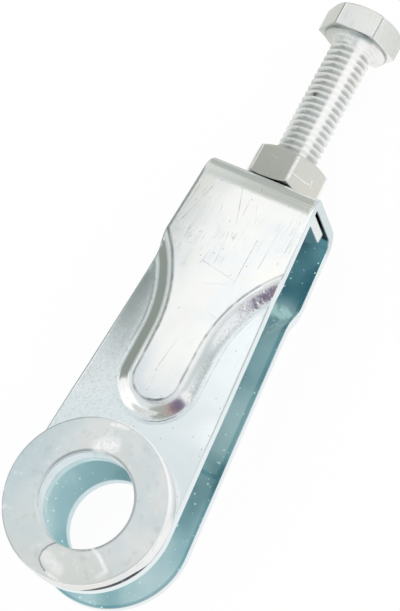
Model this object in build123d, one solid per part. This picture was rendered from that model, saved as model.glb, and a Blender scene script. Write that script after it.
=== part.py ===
"""Motorcycle chain adjuster: embossed folded strap, axle ring, nut plate, bolt and lock nut.

Frame: the axle runs along Z through the origin, which is the centre of the ring's outer face; X
points from the axle to the bolt head and +Z leaves the ring. All sizes in mm.
"""
import os
from math import acos, atan2, cos, hypot, radians, sin, sqrt, tan

from build123d import *

# Driving dimensions
THREAD_D = 8.0          # nominal thread of the bolt
HEX_AF = 13.0           # spanner size of head and nut
NUT_H = 6.5             # height of the lock nut
HEAD_H = 5.3            # height of the bolt head
BOLT_L = 40.0           # bolt length under the head
BOLT_OUT = 31.5         # head's bearing face to the strap's web, as shown
AXLE_D = 16.0           # axle the adjuster fits
RING_D = 28.4           # outside of the axle ring
RING_T = 4.0            # thickness of the axle ring
SHEET_T = 2.0           # gauge of the strap
WEB_X = 64.1            # axle axis to the outer face of the web
WEB_DEPTH = 19.2        # outer size of the fold, face to face
WEB_HALF_W = 10.6       # half width of the strap at the web
SHOULDER_HALF_W = 11.55 # half width just above the pressed step
WAIST_HALF_W = 11.3     # half width just below the pressed step
JOG_ABOVE = 4.0         # shoulder above the step's edge crossing
JOG_BELOW = 1.0         # waist below the step's edge crossing
TONGUE_GAP = 3.75       # ring to the middle of the tongue's step
TONGUE_R = 5.95         # half width of the raised tongue
NECK_L = 7.1            # straight part of the tongue
FLARE_R = 23.5          # radius of the flare from the tongue to the edges
EMBOSS_H = 1.4          # height of the pressed step
EMBOSS_SLOPE = 40.0     # slope of the step's wall, degrees
EMBOSS_TOP_R = 2.8      # rounding along the top of the step, outside
EMBOSS_FOOT_R = 2.6     # rounding along the foot of the step, outside
BEND_R = 0.7            # inner radius of the front bend
BACK_BEND_R = 2.0       # inner radius of the back bend
PLATE_T = 2.0           # thickness of the nut plate
PLATE_GAP = 0.4         # nut plate to web
PLATE_CUT = 3.0         # slanted corners of the nut plate, towards the back bend

# Clearances
AXLE_CLEAR = 0.2        # axle to bore, radial
THREAD_CLEAR = 0.05     # bolt to its two nuts, radial
CREST_DROP = 0.05       # thread crest below nominal, radial
WEB_CLEAR = 0.45        # bolt to the web's hole, radial
NUT_SEAT = 0.3          # lock nut to web, not yet run down
END_MARGIN = 0.1        # strap end beyond the ring
EDGE_SET = 0.3          # nut plate's ends inside the strap's edges

# Everything below follows from the sizes above
BOLT_R = THREAD_D / 2 - CREST_DROP
NUT_R = BOLT_R + THREAD_CLEAR
WEB_HOLE_R = BOLT_R + WEB_CLEAR
BORE_R = AXLE_D / 2 + AXLE_CLEAR
END_R = RING_D / 2 + END_MARGIN
HALF_HIGH = WEB_DEPTH / 2
HALF_LOW = HALF_HIGH - EMBOSS_H
MID_Z = -RING_T - HALF_LOW
HEAD_X = WEB_X + BOLT_OUT
TIP_X = HEAD_X - BOLT_L
NUT_X = WEB_X + NUT_SEAT
PLATE_X = WEB_X - SHEET_T - PLATE_GAP
TONGUE_X = RING_D / 2 + TONGUE_GAP + TONGUE_R
NECK_X = TONGUE_X + NECK_L
REACH = END_R + SHEET_T
CORNER_R = HEX_AF / sqrt(3)
WASHER_FACE_R = 0.465 * HEX_AF
WASHER_FACE_H = 0.03 * HEX_AF
CHAMFER_R = 0.475 * HEX_AF
EDGE_BREAK = 0.3
PLATE_BREAK = max(BEND_R - PLATE_GAP + THREAD_CLEAR, EDGE_BREAK)

# Turn of the two hexagons about the bolt, degrees from +Z towards +Y
HEAD_TURN = 30 - 5.5
NUT_TURN = -23.0


def flare_x(inward, y):
    """Where the step's flare, moved inward, stands at half width y."""
    radius = FLARE_R + inward
    turn = acos(1 - (y - TONGUE_R + inward) / radius)
    return NECK_X + radius * sin(turn)


def step_face(inward, end_x, z):
    """Flat face of the raised area at height z: round tongue, straight neck, flare, web end."""
    nose = TONGUE_R - inward
    flare = FLARE_R + inward
    edges = [ThreePointArc((TONGUE_X, nose), (TONGUE_X - nose, 0), (TONGUE_X, -nose))]
    out_x = flare_x(inward, REACH)
    half_y = (nose + REACH) / 2
    for side in (1, -1):
        edges.append(Line((TONGUE_X, side * nose), (NECK_X, side * nose)))
        edges.append(ThreePointArc(
            (NECK_X, side * nose), (flare_x(inward, half_y), side * half_y), (out_x, side * REACH)))
        edges.append(Line((out_x, side * REACH), (end_x, side * REACH)))
    edges.append(Line((end_x, REACH), (end_x, -REACH)))
    return Pos(0, 0, z) * make_face(edges)


def outline():
    """Plan of one plate: rounded axle end, straight taper, small jog at the step, square web end."""
    edge_x = flare_x(0, WEB_HALF_W)
    waist = (edge_x - JOG_BELOW, WAIST_HALF_W)
    shoulder = (edge_x + JOG_ABOVE, SHOULDER_HALF_W)
    turn = atan2(waist[1], waist[0]) + acos(END_R / hypot(*waist))
    touch = (END_R * cos(turn), END_R * sin(turn))
    low = (waist[1] - touch[1]) / (waist[0] - touch[0])
    top = (WEB_HALF_W - shoulder[1]) / (WEB_X - shoulder[0])
    edges = []
    for side in (1, -1):
        edges.append(Line((touch[0], side * touch[1]), (waist[0], side * waist[1])))
        edges.append(Spline(
            (waist[0], side * waist[1]), (shoulder[0], side * shoulder[1]),
            tangents=[(1, side * low), (1, side * top)],
        ))
        edges.append(Line((shoulder[0], side * shoulder[1]), (WEB_X, side * WEB_HALF_W)))
    edges.append(Line((WEB_X, WEB_HALF_W), (WEB_X, -WEB_HALF_W)))
    edges.append(ThreePointArc((touch[0], touch[1]), (-END_R, 0), (touch[0], -touch[1])))
    return make_face(edges)


def step_edges(shape, inward, z):
    """Edges of the step's line, moved inward, at height z."""
    nose = TONGUE_R - inward
    found = []
    for edge in shape.edges():
        box = edge.bounding_box()
        mid = edge @ 0.5
        if abs(box.min.Z - z) > 1e-4 or abs(box.max.Z - z) > 1e-4 or abs(mid.Y) > REACH - 1e-3:
            continue
        on_nose = abs(hypot(mid.X - TONGUE_X, mid.Y) - nose) < 1e-3 and mid.X < TONGUE_X
        on_neck = abs(abs(mid.Y) - nose) < 1e-3 and TONGUE_X < mid.X < NECK_X
        on_flare = abs(hypot(mid.X - NECK_X, TONGUE_R + FLARE_R - abs(mid.Y)) - FLARE_R - inward) < 1e-3
        if on_nose or on_neck or on_flare:
            found.append(edge)
    return found


def raised_block(inward, end_x, low, high, top_r, foot_r, bend_r):
    """Solid up to the embossed surface: slab to height low, raised area to height high."""
    run = EMBOSS_H / tan(radians(EMBOSS_SLOPE))
    foot = step_face(inward - run / 2, end_x, low)
    crown = step_face(inward + run / 2, end_x, high)
    pad = loft([foot, crown], ruled=True)
    slab = Pos((end_x - REACH) / 2, 0, low / 2) * Box(end_x + REACH, 2 * REACH, low)
    block = slab + pad
    if top_r > 0:
        block = fillet(step_edges(block, inward + run / 2, high), top_r)
    block = fillet(step_edges(block, inward - run / 2, low), foot_r)
    ridge = [e for e in block.edges() if abs(e.center().X - end_x) < 1e-3 and abs(e.center().Z - high) < 1e-3]
    return fillet(ridge, bend_r)


def half_strap(bend_r):
    """One plate with its bend, up to the bolt's plane, where the two halves of the web meet."""
    shift = SHEET_T * tan(radians(EMBOSS_SLOPE / 2))
    outer = raised_block(
        0, WEB_X, HALF_LOW, HALF_HIGH, EMBOSS_TOP_R, EMBOSS_FOOT_R, bend_r + SHEET_T)
    inner = raised_block(
        shift, WEB_X - SHEET_T, HALF_LOW - SHEET_T, HALF_HIGH - SHEET_T,
        0, EMBOSS_FOOT_R + SHEET_T / 2, bend_r)
    return (outer - inner) & extrude(outline(), HALF_HIGH)


def strap():
    """One sheet folded twice; both plates pressed with the same raised tongue."""
    both = half_strap(BEND_R) + mirror(half_strap(BACK_BEND_R), Plane.XY)
    both -= Cylinder(BORE_R, 2 * WEB_DEPTH)
    both -= Pos(WEB_X, 0, 0) * Rot(0, 90, 0) * Cylinder(WEB_HOLE_R, 4 * SHEET_T)
    return Pos(0, 0, MID_Z) * both


def axle_ring():
    """Thick flat ring on the front plate, its edges broken."""
    ring = Cylinder(RING_D / 2, RING_T) - Cylinder(BORE_R, RING_T)
    ring = chamfer(ring.edges().group_by(Axis.Z)[-1], EDGE_BREAK)
    return Pos(0, 0, -RING_T / 2) * ring


def along_bolt(shape, x, turn=0.0):
    """Stand a shape built along +Z on the bolt's axis at x."""
    return Pos(x, 0, MID_Z) * Rot(0, 90, 0) * Rot(0, 0, -turn) * shape


def hex_blank(height, both_ends):
    """Hexagon with its corners turned down to the chamfer circle."""
    body = extrude(RegularPolygon(CORNER_R, 6), height)
    drop = (CORNER_R - CHAMFER_R) * tan(radians(30))
    rim = [(0, 0), (CORNER_R + 1e-3, 0), (CORNER_R + 1e-3, height - drop), (CHAMFER_R, height), (0, height)]
    if both_ends:
        rim = [(0, 0), (CHAMFER_R, 0), (CORNER_R + 1e-3, drop), *rim[2:]]
    turned = revolve(Plane.XZ * make_face(Polyline(*rim, close=True)), Axis.Z)
    return body & turned


def adjuster_bolt():
    """Hexagon bolt threaded to the head; the thread is drawn at its crest."""
    head = Pos(0, 0, WASHER_FACE_H) * hex_blank(HEAD_H - WASHER_FACE_H, False)
    head += Pos(0, 0, WASHER_FACE_H / 2) * Cylinder(WASHER_FACE_R, WASHER_FACE_H)
    shank = Pos(0, 0, -BOLT_L / 2) * Cylinder(BOLT_R, BOLT_L)
    shank = chamfer(shank.edges().group_by(Axis.Z)[0], 0.15 * BOLT_R)
    return along_bolt(head + shank, HEAD_X, HEAD_TURN)


def lock_nut():
    """Hexagon nut, chamfered on both sides, with countersunk bore."""
    lead = 0.1 * THREAD_D / 2
    nut = hex_blank(NUT_H, True)
    nut -= Pos(0, 0, NUT_H / 2) * Cylinder(NUT_R, NUT_H)
    nut -= Pos(0, 0, lead / 2) * Cone(NUT_R + lead, NUT_R, lead)
    nut -= Pos(0, 0, NUT_H - lead / 2) * Cone(NUT_R, NUT_R + lead, lead)
    return along_bolt(nut, NUT_X, NUT_TURN)


def nut_plate():
    """Threaded plate caught inside the fold, hard against the front plate, clear of the back bend."""
    front = HALF_HIGH - SHEET_T
    back = front - BACK_BEND_R
    plate = Pos(PLATE_X - PLATE_T / 2, 0, (front - back) / 2) * Box(
        PLATE_T, 2 * (WEB_HALF_W - EDGE_SET), front + back)
    plate = chamfer(plate.edges().filter_by(Axis.X).group_by(Axis.Z)[0], PLATE_CUT)
    plate = chamfer(plate.edges().filter_by(Axis.Y).group_by(Axis.X)[-1], PLATE_BREAK)
    plate -= Pos(PLATE_X, 0, 0) * Rot(0, 90, 0) * Cylinder(NUT_R, 4 * PLATE_T)
    return Pos(0, 0, MID_Z) * plate


def main():
    """Build every piece and write its STEP file."""
    os.makedirs("parts", exist_ok=True)
    pieces = {
        "strap": strap(),
        "axle_ring": axle_ring(),
        "nut_plate": nut_plate(),
        "lock_nut": lock_nut(),
        "adjuster_bolt": adjuster_bolt(),
    }
    for name, shape in pieces.items():
        export_step(shape, f"parts/{name}.step")


main()
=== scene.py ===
"""Studio picture of a motorcycle chain adjuster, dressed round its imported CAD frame.

Lengths are in millimetres in the classes and become metres where a mesh is made. The frame is the
part's own: the axle runs along Z through the origin, X points from the axle to the bolt head.
"""

import logging
import math
from dataclasses import dataclass, field
from enum import Enum
from functools import reduce
from typing import Any

import bmesh
import bpy
import numpy as np
from mathutils import Matrix, Vector


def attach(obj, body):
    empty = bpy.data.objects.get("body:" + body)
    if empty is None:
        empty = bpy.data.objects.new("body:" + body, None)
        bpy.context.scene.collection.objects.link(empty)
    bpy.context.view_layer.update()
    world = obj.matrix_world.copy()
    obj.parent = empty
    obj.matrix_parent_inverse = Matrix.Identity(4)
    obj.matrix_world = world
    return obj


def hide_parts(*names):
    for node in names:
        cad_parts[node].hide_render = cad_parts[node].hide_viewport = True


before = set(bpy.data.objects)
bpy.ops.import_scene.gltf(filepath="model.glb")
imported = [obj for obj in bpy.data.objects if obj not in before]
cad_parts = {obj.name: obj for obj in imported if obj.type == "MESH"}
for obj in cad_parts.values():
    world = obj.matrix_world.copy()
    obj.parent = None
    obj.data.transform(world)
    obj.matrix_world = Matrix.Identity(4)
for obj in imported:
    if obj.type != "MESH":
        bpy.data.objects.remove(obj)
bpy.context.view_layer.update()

LOG = logging.getLogger("chain_adjuster")
MM = 0.001
TURN = 2.0 * math.pi
WELD_STEPS = 1.0e4      # weld grid, steps per millimetre
WELD_SHIFT = 0.137      # keeps round numbers away from the weld grid's borders
MID_Z = -12.2           # height of the bolt's axis in the part's frame
SLOPE_STEP = 0.05       # half step of a slope that is taken between two near points, mm
LEAST_LENGTH = 1e-9     # keeps a division by a length off zero
LEAST_SUM = 1e-20       # keeps a division by summed normals off zero
RIM_SHARE = np.array([0.0, 0.5] + [1.0] * 6 + [0.5, 0.0])    # across a rounded sheet edge
LIP_FROM = 0.94         # share of the inner face's width where its painted shade margin starts

Color = tuple[float, float, float]
Triple = tuple[float, float, float]
Tint = Color | bpy.types.NodeSocket
DUST: Color = (0.76, 0.98, 0.99)
SHADE_AND_GRIME: Color = (0.012, 0.018, 0.02)     # near black: painted shade in the narrow slits, gaps and seams, and a dark dirt speck
CARD_GREY: Color = (0.44, 0.47, 0.445)
WHITE = (1.0, 1.0, 1.0, 1.0)
STROKE_CORE = 0.3       # share of a stroke's half width that has its full weight


class Side(Enum):
    """Which of the fork's two plates, as the sign of its distance from the bolt's plane."""

    FRONT = 1.0
    BACK = -1.0


class Body(Enum):
    """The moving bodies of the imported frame."""

    FORK = "fork"
    BOLT = "bolt"
    NUT = "nut"


@dataclass
class Shell:
    """A closed surface gathered from grids of points, which weld where their rims meet.

    Attributes:
        points: one (n, 3) array for each grid, in millimetres.
        quads: one (m, 4) array of corner numbers for each grid.
        tags: for each named mark, the grids' values by the number of their first point.
        count: points gathered so far.
    """

    points: list[np.ndarray] = field(default_factory=list)
    quads: list[np.ndarray] = field(default_factory=list)
    tags: dict[str, dict[int, np.ndarray]] = field(default_factory=dict)
    count: int = 0

    def add(self, grid: np.ndarray, wrap_cols: bool = False, wrap_rows: bool = False,
            **tags: np.ndarray | float) -> None:
        """Join a grid of points into quads, one for each cell between two rows and two columns.

        Args:
            grid: (rows, columns, 3) points in millimetres.
            wrap_cols: whether the last column joins the first.
            wrap_rows: whether the last row joins the first.
            tags: marks that the finish reads, each one number or one for each point.
        """
        rows, cols = grid.shape[:2]
        for name, value in tags.items():
            marks = np.broadcast_to(np.asarray(value, float), (rows, cols)).reshape(-1)
            self.tags.setdefault(name, {})[self.count] = marks
        index = np.arange(rows * cols).reshape(rows, cols) + self.count
        if wrap_rows:
            index = np.concatenate([index, index[:1]], axis=0)
        if wrap_cols:
            index = np.concatenate([index, index[:, :1]], axis=1)
        corners = [index[:-1, :-1], index[:-1, 1:], index[1:, 1:], index[1:, :-1]]
        self.quads.append(np.stack(corners, axis=-1).reshape(-1, 4))
        self.points.append(grid.reshape(-1, 3))
        self.count += rows * cols

    def welded(self) -> tuple[np.ndarray, np.ndarray, np.ndarray, dict[str, np.ndarray]]:
        """Merge points that share a cell of the weld grid and mark the corners that this folds away.

        Returns:
            The merged points, the quads on them, a mask of each quad's corners to keep, and the
            largest value of each tag at each point.
        """
        cloud = np.concatenate(self.points)
        quads = np.concatenate(self.quads)
        keys = np.round(cloud * WELD_STEPS + WELD_SHIFT).astype(np.int64)
        _, first, back = np.unique(keys, axis=0, return_index=True, return_inverse=True)
        back = back.reshape(-1)
        tags = {}
        for name, marks in self.tags.items():
            tags[name] = np.zeros(len(first))
            for start, values in marks.items():
                np.maximum.at(tags[name], back[start:start + len(values)], values)
        quads = back[quads]
        keep = quads != np.roll(quads, -1, axis=1)
        whole = keep.sum(axis=1) >= 3
        return cloud[first], quads[whole], keep[whole], tags

    def build(self, name: str) -> bpy.types.Object:
        """Make the mesh object, faces outward, with normals weighted by face area.

        Args:
            name: name of the object and its mesh.

        Returns:
            The object, linked to the scene, at the origin.
        """
        cloud, quads, keep, tags = self.welded()
        totals = keep.sum(axis=1)
        mesh = bpy.data.meshes.new(name)
        mesh.vertices.add(len(cloud))
        mesh.loops.add(int(totals.sum()))
        mesh.polygons.add(len(totals))
        mesh.vertices.foreach_set("co", (cloud * MM).astype(np.float32).ravel())
        mesh.loops.foreach_set("vertex_index", quads[keep].astype(np.int32))
        mesh.polygons.foreach_set("loop_start", (np.cumsum(totals) - totals).astype(np.int32))
        mesh.update(calc_edges=True)
        mesh.validate()
        for mark, values in tags.items():
            layer = mesh.attributes.new(mark, "FLOAT", "POINT")
            layer.data.foreach_set("value", values.astype(np.float32))
        work = bmesh.new()
        work.from_mesh(mesh)
        bmesh.ops.recalc_face_normals(work, faces=work.faces)
        work.to_mesh(mesh)
        work.free()
        self.smooth(mesh)
        made = bpy.data.objects.new(name, mesh)
        bpy.context.scene.collection.objects.link(made)
        return made

    @staticmethod
    def smooth(mesh: bpy.types.Mesh) -> None:
        """Give each point the sum of its faces' normals times their areas, so that flats stay flat.

        Args:
            mesh: the finished mesh.
        """
        faces = len(mesh.polygons)
        normal, area = np.zeros(faces * 3), np.zeros(faces)
        total, corner = np.zeros(faces, np.int32), np.zeros(len(mesh.loops), np.int32)
        mesh.polygons.foreach_get("normal", normal)
        mesh.polygons.foreach_get("area", area)
        mesh.polygons.foreach_get("loop_total", total)
        mesh.loops.foreach_get("vertex_index", corner)
        weighted = np.repeat(normal.reshape(-1, 3) * area[:, None], total, axis=0)
        mean = np.zeros((len(mesh.vertices), 3))
        np.add.at(mean, corner, weighted)
        mean /= np.maximum(np.linalg.norm(mean, axis=1, keepdims=True), LEAST_SUM)
        mesh.polygons.foreach_set("use_smooth", np.ones(faces, bool))
        mesh.normals_split_custom_set_from_vertices(mean.tolist())


def soften(corners: np.ndarray, setback: list[float], steps: int, closed: bool = True) -> np.ndarray:
    """Round the corners of polygons that run side by side.

    Each corner becomes the quadratic curve between the points that lie its setback away from it
    along its two sides: corner + (1 - s)^2 * back + s^2 * ahead.

    Args:
        corners: (corners, polygons, 2) coordinates.
        setback: one length for each corner.
        steps: pieces in each curve.
        closed: whether the last corner joins the first; otherwise both ends stay as they are.

    Returns:
        (points, polygons, 2) coordinates of the rounded outlines.
    """
    reach = np.asarray(setback, float)[:, None, None]
    back = np.roll(corners, 1, axis=0) - corners
    ahead = np.roll(corners, -1, axis=0) - corners
    back = back * reach / np.maximum(np.linalg.norm(back, axis=2, keepdims=True), LEAST_LENGTH)
    ahead = ahead * reach / np.maximum(np.linalg.norm(ahead, axis=2, keepdims=True), LEAST_LENGTH)
    share = np.linspace(0.0, 1.0, steps + 1)[None, :, None, None]
    curve = corners[:, None] + (1.0 - share) ** 2 * back[:, None] + share ** 2 * ahead[:, None]
    if closed:
        return curve.reshape(-1, *corners.shape[1:])
    inner = curve[1:-1].reshape(-1, *corners.shape[1:])
    return np.concatenate([corners[:1], inner, corners[-1:]])


def rim_band(top: np.ndarray, foot: np.ndarray, out: np.ndarray, up: np.ndarray,
             top_r: float, foot_r: float, steps: int = 4) -> np.ndarray:
    """Rounded edge of a sheet: quarter circle, straight wall, quarter circle.

    From a point of the upper face, top_r inside the edge, the curve is
    top + top_r * (out * sin a + up * (cos a - 1)), and likewise from the lower face.

    Args:
        top: (n, 3) points on the upper face, top_r inside the edge.
        foot: (n, 3) points on the lower face, foot_r inside the edge.
        out: (n, 3) unit vectors in the sheet, out of the edge.
        up: (n, 3) unit vectors from the lower to the upper face.
        top_r: radius at the upper face.
        foot_r: radius at the lower face.
        steps: pieces in each quarter circle.

    Returns:
        (n, 2 * steps + 2, 3) points from the upper face round to the lower one.
    """
    angle = np.linspace(0.0, math.pi / 2, steps + 1)[None, :, None]
    out, up = out[:, None], up[:, None]
    upper = top[:, None] + top_r * (out * np.sin(angle) + up * (np.cos(angle) - 1.0))
    lower = foot[:, None] + foot_r * (out * np.cos(angle) + up * (1.0 - np.sin(angle)))
    return np.concatenate([upper, lower], axis=1)


def spread(inner: np.ndarray, outer: np.ndarray, steps: int) -> np.ndarray:
    """Rows of points that go straight from one closed curve to another.

    Args:
        inner: (n, 3) points of the first curve.
        outer: (n, 3) points of the second.
        steps: rows of cells between them.

    Returns:
        (steps + 1, n, 3) points.
    """
    share = np.linspace(0.0, 1.0, steps + 1)[:, None, None]
    return inner[None] * (1.0 - share) + outer[None] * share


@dataclass
class Strap:
    """The sheet strap: two plates pressed with a raised tongue, joined by the web of the fold."""

    web_x: float = 64.1             # axle to the web's outer face
    half_high: float = 9.6          # bolt's plane to the raised outer face
    rise: float = 1.4               # height of the pressed step
    gauge: float = 2.0
    mid_z: float = MID_Z            # height of the bolt's plane
    web_half: float = 10.6          # half width at the web
    shoulder: tuple[float, float] = (49.03, 11.55)
    waist: tuple[float, float] = (44.03, 11.3)
    end_radius: float = 14.3
    bore: float = 8.2
    bolt_hole: float = 4.4
    front_bend: float = 0.7         # inner radius of the front bend
    back_bend: float = 2.0          # inner radius of the back bend
    tongue_x: float = 23.9          # centre of the tongue's round end
    tongue_r: float = 5.95
    neck_x: float = 31.0            # where the tongue starts to flare
    flare_r: float = 23.5
    slope: float = 40.0             # of the step's wall, degrees
    top_r: float = 2.8              # rounding along the top of the step
    foot_r: float = 2.6             # rounding along its foot
    inner_top_r: float = 0.8
    inner_foot_r: float = 3.6
    droop: float = 0.15             # how far the wings beside the tongue fall to their edges
    droop_from: float = 0.95        # foot of the step's straight wall to where the fall starts
    droop_run: float = 7.0          # length beyond the seam over which it sets in
    droop_power: float = 1.4
    full_wing: float = 1.5          # narrower wings fall less
    least_wing: float = 0.5         # least width that the fall is spread over
    edge_top: float = 0.42          # rolled edge of the blanked sheet, outside
    edge_foot: float = 0.2          # sharper edge inside
    bore_edge: float = 0.18         # rounding of the axle holes
    hole_edge: float = 0.15         # rounding of the bolt hole
    seam_x: float = 15.5            # where the axle end's polar grid meets the wings
    rows: int = 154                 # points along a plate
    cols: int = 77                  # points across it
    bend_rows: int = 10
    side_rows: int = 26             # points along each straight side of the axle end
    end_rows: int = 130             # points round its arc
    end_rings: int = 20             # rings of cells from an axle hole to the edge
    web_rows: int = 26
    web_rings: int = 8

    @property
    def half_low(self) -> float:
        """Bolt's plane to the outer face round the axle."""
        return self.half_high - self.rise

    @property
    def low_slope(self) -> float:
        """Slope of the straight side from the axle end to the waist."""
        return (self.waist[1] - self.touch()[1]) / (self.waist[0] - self.touch()[0])

    def bend(self, side: Side) -> float:
        """Inner radius of a plate's bend into the web."""
        return self.front_bend if side is Side.FRONT else self.back_bend

    def web_reach(self, side: Side) -> float:
        """Bolt's plane to the start of a bend."""
        return self.half_high - self.gauge - self.bend(side)

    def touch(self) -> tuple[float, float]:
        """Point where the straight side leaves the round end, from the tangent through the waist.

        Returns:
            Its plan position.
        """
        reach = math.hypot(*self.waist)
        turn = math.atan2(self.waist[1], self.waist[0]) + math.acos(self.end_radius / reach)
        return self.end_radius * math.cos(turn), self.end_radius * math.sin(turn)

    def half_width(self, x: np.ndarray) -> np.ndarray:
        """Half width of the plates: straight side, cubic jog at the step, straight to the web.

        Args:
            x: distances from the axle.

        Returns:
            Half widths, of the shape of x.
        """
        (wx, wy), (sx, sy), low = self.waist, self.shoulder, self.low_slope
        high = (self.web_half - sy) / (self.web_x - sx)
        t = np.clip((x - wx) / (sx - wx), 0.0, 1.0)
        span = sx - wx
        jog = ((2 * t ** 3 - 3 * t ** 2 + 1) * wy + (t ** 3 - 2 * t ** 2 + t) * span * low
               + (3 * t ** 2 - 2 * t ** 3) * sy + (t ** 3 - t ** 2) * span * high)
        return np.where(x < wx, wy + low * (x - wx), np.where(x > sx, sy + high * (x - sx), jog))

    def side_out(self, x: np.ndarray) -> np.ndarray:
        """Unit vectors out of the +Y edge, from the slope of the half width."""
        lean = (self.half_width(x + SLOPE_STEP) - self.half_width(x - SLOPE_STEP)) / (2.0 * SLOPE_STEP)
        return np.stack([-lean, np.ones_like(lean)], axis=-1) / np.hypot(1.0, lean)[..., None]

    def step_distance(self, x: np.ndarray, y: np.ndarray) -> np.ndarray:
        """Signed distance to the middle of the step, positive on the raised side.

        Round the tongue's end it is taken from the nose circle, along the neck from two straight
        lines, and beyond that from the two flare circles.

        Args:
            x: plan positions along the strap.
            y: plan positions across it.

        Returns:
            Distances in millimetres.
        """
        across = np.abs(y)
        nose = self.tongue_r - np.hypot(x - self.tongue_x, across)
        flare = np.hypot(x - self.neck_x, across - self.tongue_r - self.flare_r) - self.flare_r
        straight = self.tongue_r - across
        return np.where(x < self.tongue_x, nose, np.where(x > self.neck_x, flare, straight))

    def step_height(self, d: np.ndarray, top_r: float, foot_r: float) -> np.ndarray:
        """Height of the step at distance d: foot arc, straight wall at the slope, top arc.

        Args:
            d: signed distances from the middle of the step.
            top_r: radius of the top arc.
            foot_r: radius of the foot arc.

        Returns:
            Heights from 0 to the rise.
        """
        angle = math.radians(self.slope)
        run, half = self.rise / math.tan(angle), math.tan(angle / 2)
        start, end = -run / 2 - foot_r * half, run / 2 + top_r * half
        low, high = start + foot_r * math.sin(angle), end - top_r * math.sin(angle)
        foot = foot_r - np.sqrt(np.maximum(foot_r ** 2 - np.clip(d - start, 0, None) ** 2, 0))
        top = self.rise - top_r + np.sqrt(np.maximum(top_r ** 2 - np.clip(end - d, 0, None) ** 2, 0))
        wall = self.rise / 2 + d * math.tan(angle)
        return np.where(d < low, foot, np.where(d > high, top, wall))

    def sag(self, x: np.ndarray, y: np.ndarray) -> np.ndarray:
        """Fall of the wings beside the tongue, from nothing at the step's foot to full at the edge.

        Args:
            x: plan positions along the strap.
            y: plan positions across it.

        Returns:
            Depths to take off the plate's height.
        """
        foot = 0.5 * self.rise / math.tan(math.radians(self.slope)) + self.droop_from
        width = -self.step_distance(x, self.half_width(x)) - foot
        share = np.clip((-self.step_distance(x, y) - foot) / np.maximum(width, self.least_wing), 0.0, 1.0)
        along = np.clip((x - self.seam_x) / self.droop_run, 0.0, 1.0)
        window = along * np.clip(width / self.full_wing, 0.0, 1.0)
        return self.droop * share ** self.droop_power * window * window * (3.0 - 2.0 * window)

    def face(self, x: np.ndarray, y: np.ndarray, side: Side, inside: bool) -> np.ndarray:
        """Points of a plate's outer or inner face over plan positions.

        Args:
            x: plan positions along the strap.
            y: plan positions across it.
            side: which plate.
            inside: whether it is the face towards the other plate.

        Returns:
            Points with one more axis of length 3.
        """
        d = self.step_distance(x, y)
        if inside:
            shift = self.gauge * math.tan(math.radians(self.slope / 2))
            height = self.step_height(d - shift, self.inner_top_r, self.inner_foot_r) - self.gauge
        else:
            height = self.step_height(d, self.top_r, self.foot_r)
        height = height + self.half_low - self.sag(x, y)
        return np.stack([x, y, self.mid_z + side.value * height], axis=-1)

    def plate_rows(self, side: Side) -> tuple[np.ndarray, np.ndarray, np.ndarray, np.ndarray]:
        """Rows of a plate from the seam to the fold, and on round the bend.

        Args:
            side: which plate.

        Returns:
            Outer face and inner face (rows, columns, 3), the +Y edge's outward vectors (rows, 3)
            and the sheet's upward vectors (rows, 3).
        """
        bend = self.bend(side)
        bend_x = self.web_x - bend - self.gauge
        x = np.linspace(self.seam_x, bend_x, self.rows)
        out = self.side_out(x)
        t = np.linspace(1.0, -1.0, self.cols)
        faces = []
        for radius, inside in ((self.edge_top, False), (self.edge_foot, True)):
            along = (x - radius * out[:, 0])[:, None] + 0.0 * t
            across = (self.half_width(x) - radius * out[:, 1])[:, None] * t
            faces.append(self.face(along, across, side, inside))
        angle = np.linspace(0.0, math.pi / 2, self.bend_rows + 1)[1:]
        up = np.stack([np.sin(angle), 0 * angle, side.value * np.cos(angle)], axis=-1)
        centre = np.array([bend_x, 0.0, self.mid_z + side.value * self.web_reach(side)])
        half = self.half_width(bend_x + (bend + self.gauge) * np.sin(angle))
        for k, (radius, edge) in enumerate(((bend + self.gauge, self.edge_top), (bend, self.edge_foot))):
            arc = (centre + radius * up)[:, None] + np.zeros((1, self.cols, 1))
            arc[..., 1] = (half - edge)[:, None] * t
            faces[k] = np.concatenate([faces[k], arc])
        flat_out = np.concatenate([out, np.zeros((len(x), 1))], axis=1)
        bend_out = np.tile([[0.0, 1.0, 0.0]], (len(angle), 1))
        flat_up = np.tile([[0.0, 0.0, side.value]], (len(x), 1))
        return (faces[0], faces[1], np.concatenate([flat_out, bend_out]), np.concatenate([flat_up, up]))

    def end_path(self) -> tuple[np.ndarray, np.ndarray]:
        """Edge of the axle end in plan, from the seam at -Y round to the seam at +Y.

        Returns:
            (n, 2) points and (n, 2) outward unit vectors.
        """
        tx, ty = self.touch()
        x = np.linspace(self.seam_x, tx, self.side_rows)
        plus = np.stack([x, self.half_width(x)], axis=-1)
        plus_out = self.side_out(x)
        turn = np.linspace(-math.atan2(ty, tx), -TURN + math.atan2(ty, tx), self.end_rows)[1:-1]
        arc_out = np.stack([np.cos(turn), np.sin(turn)], axis=-1)
        flip = np.array([1.0, -1.0])
        points = np.concatenate([plus * flip, arc_out * self.end_radius, plus[::-1]])
        return points, np.concatenate([plus_out * flip, arc_out, plus_out[::-1]])

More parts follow.
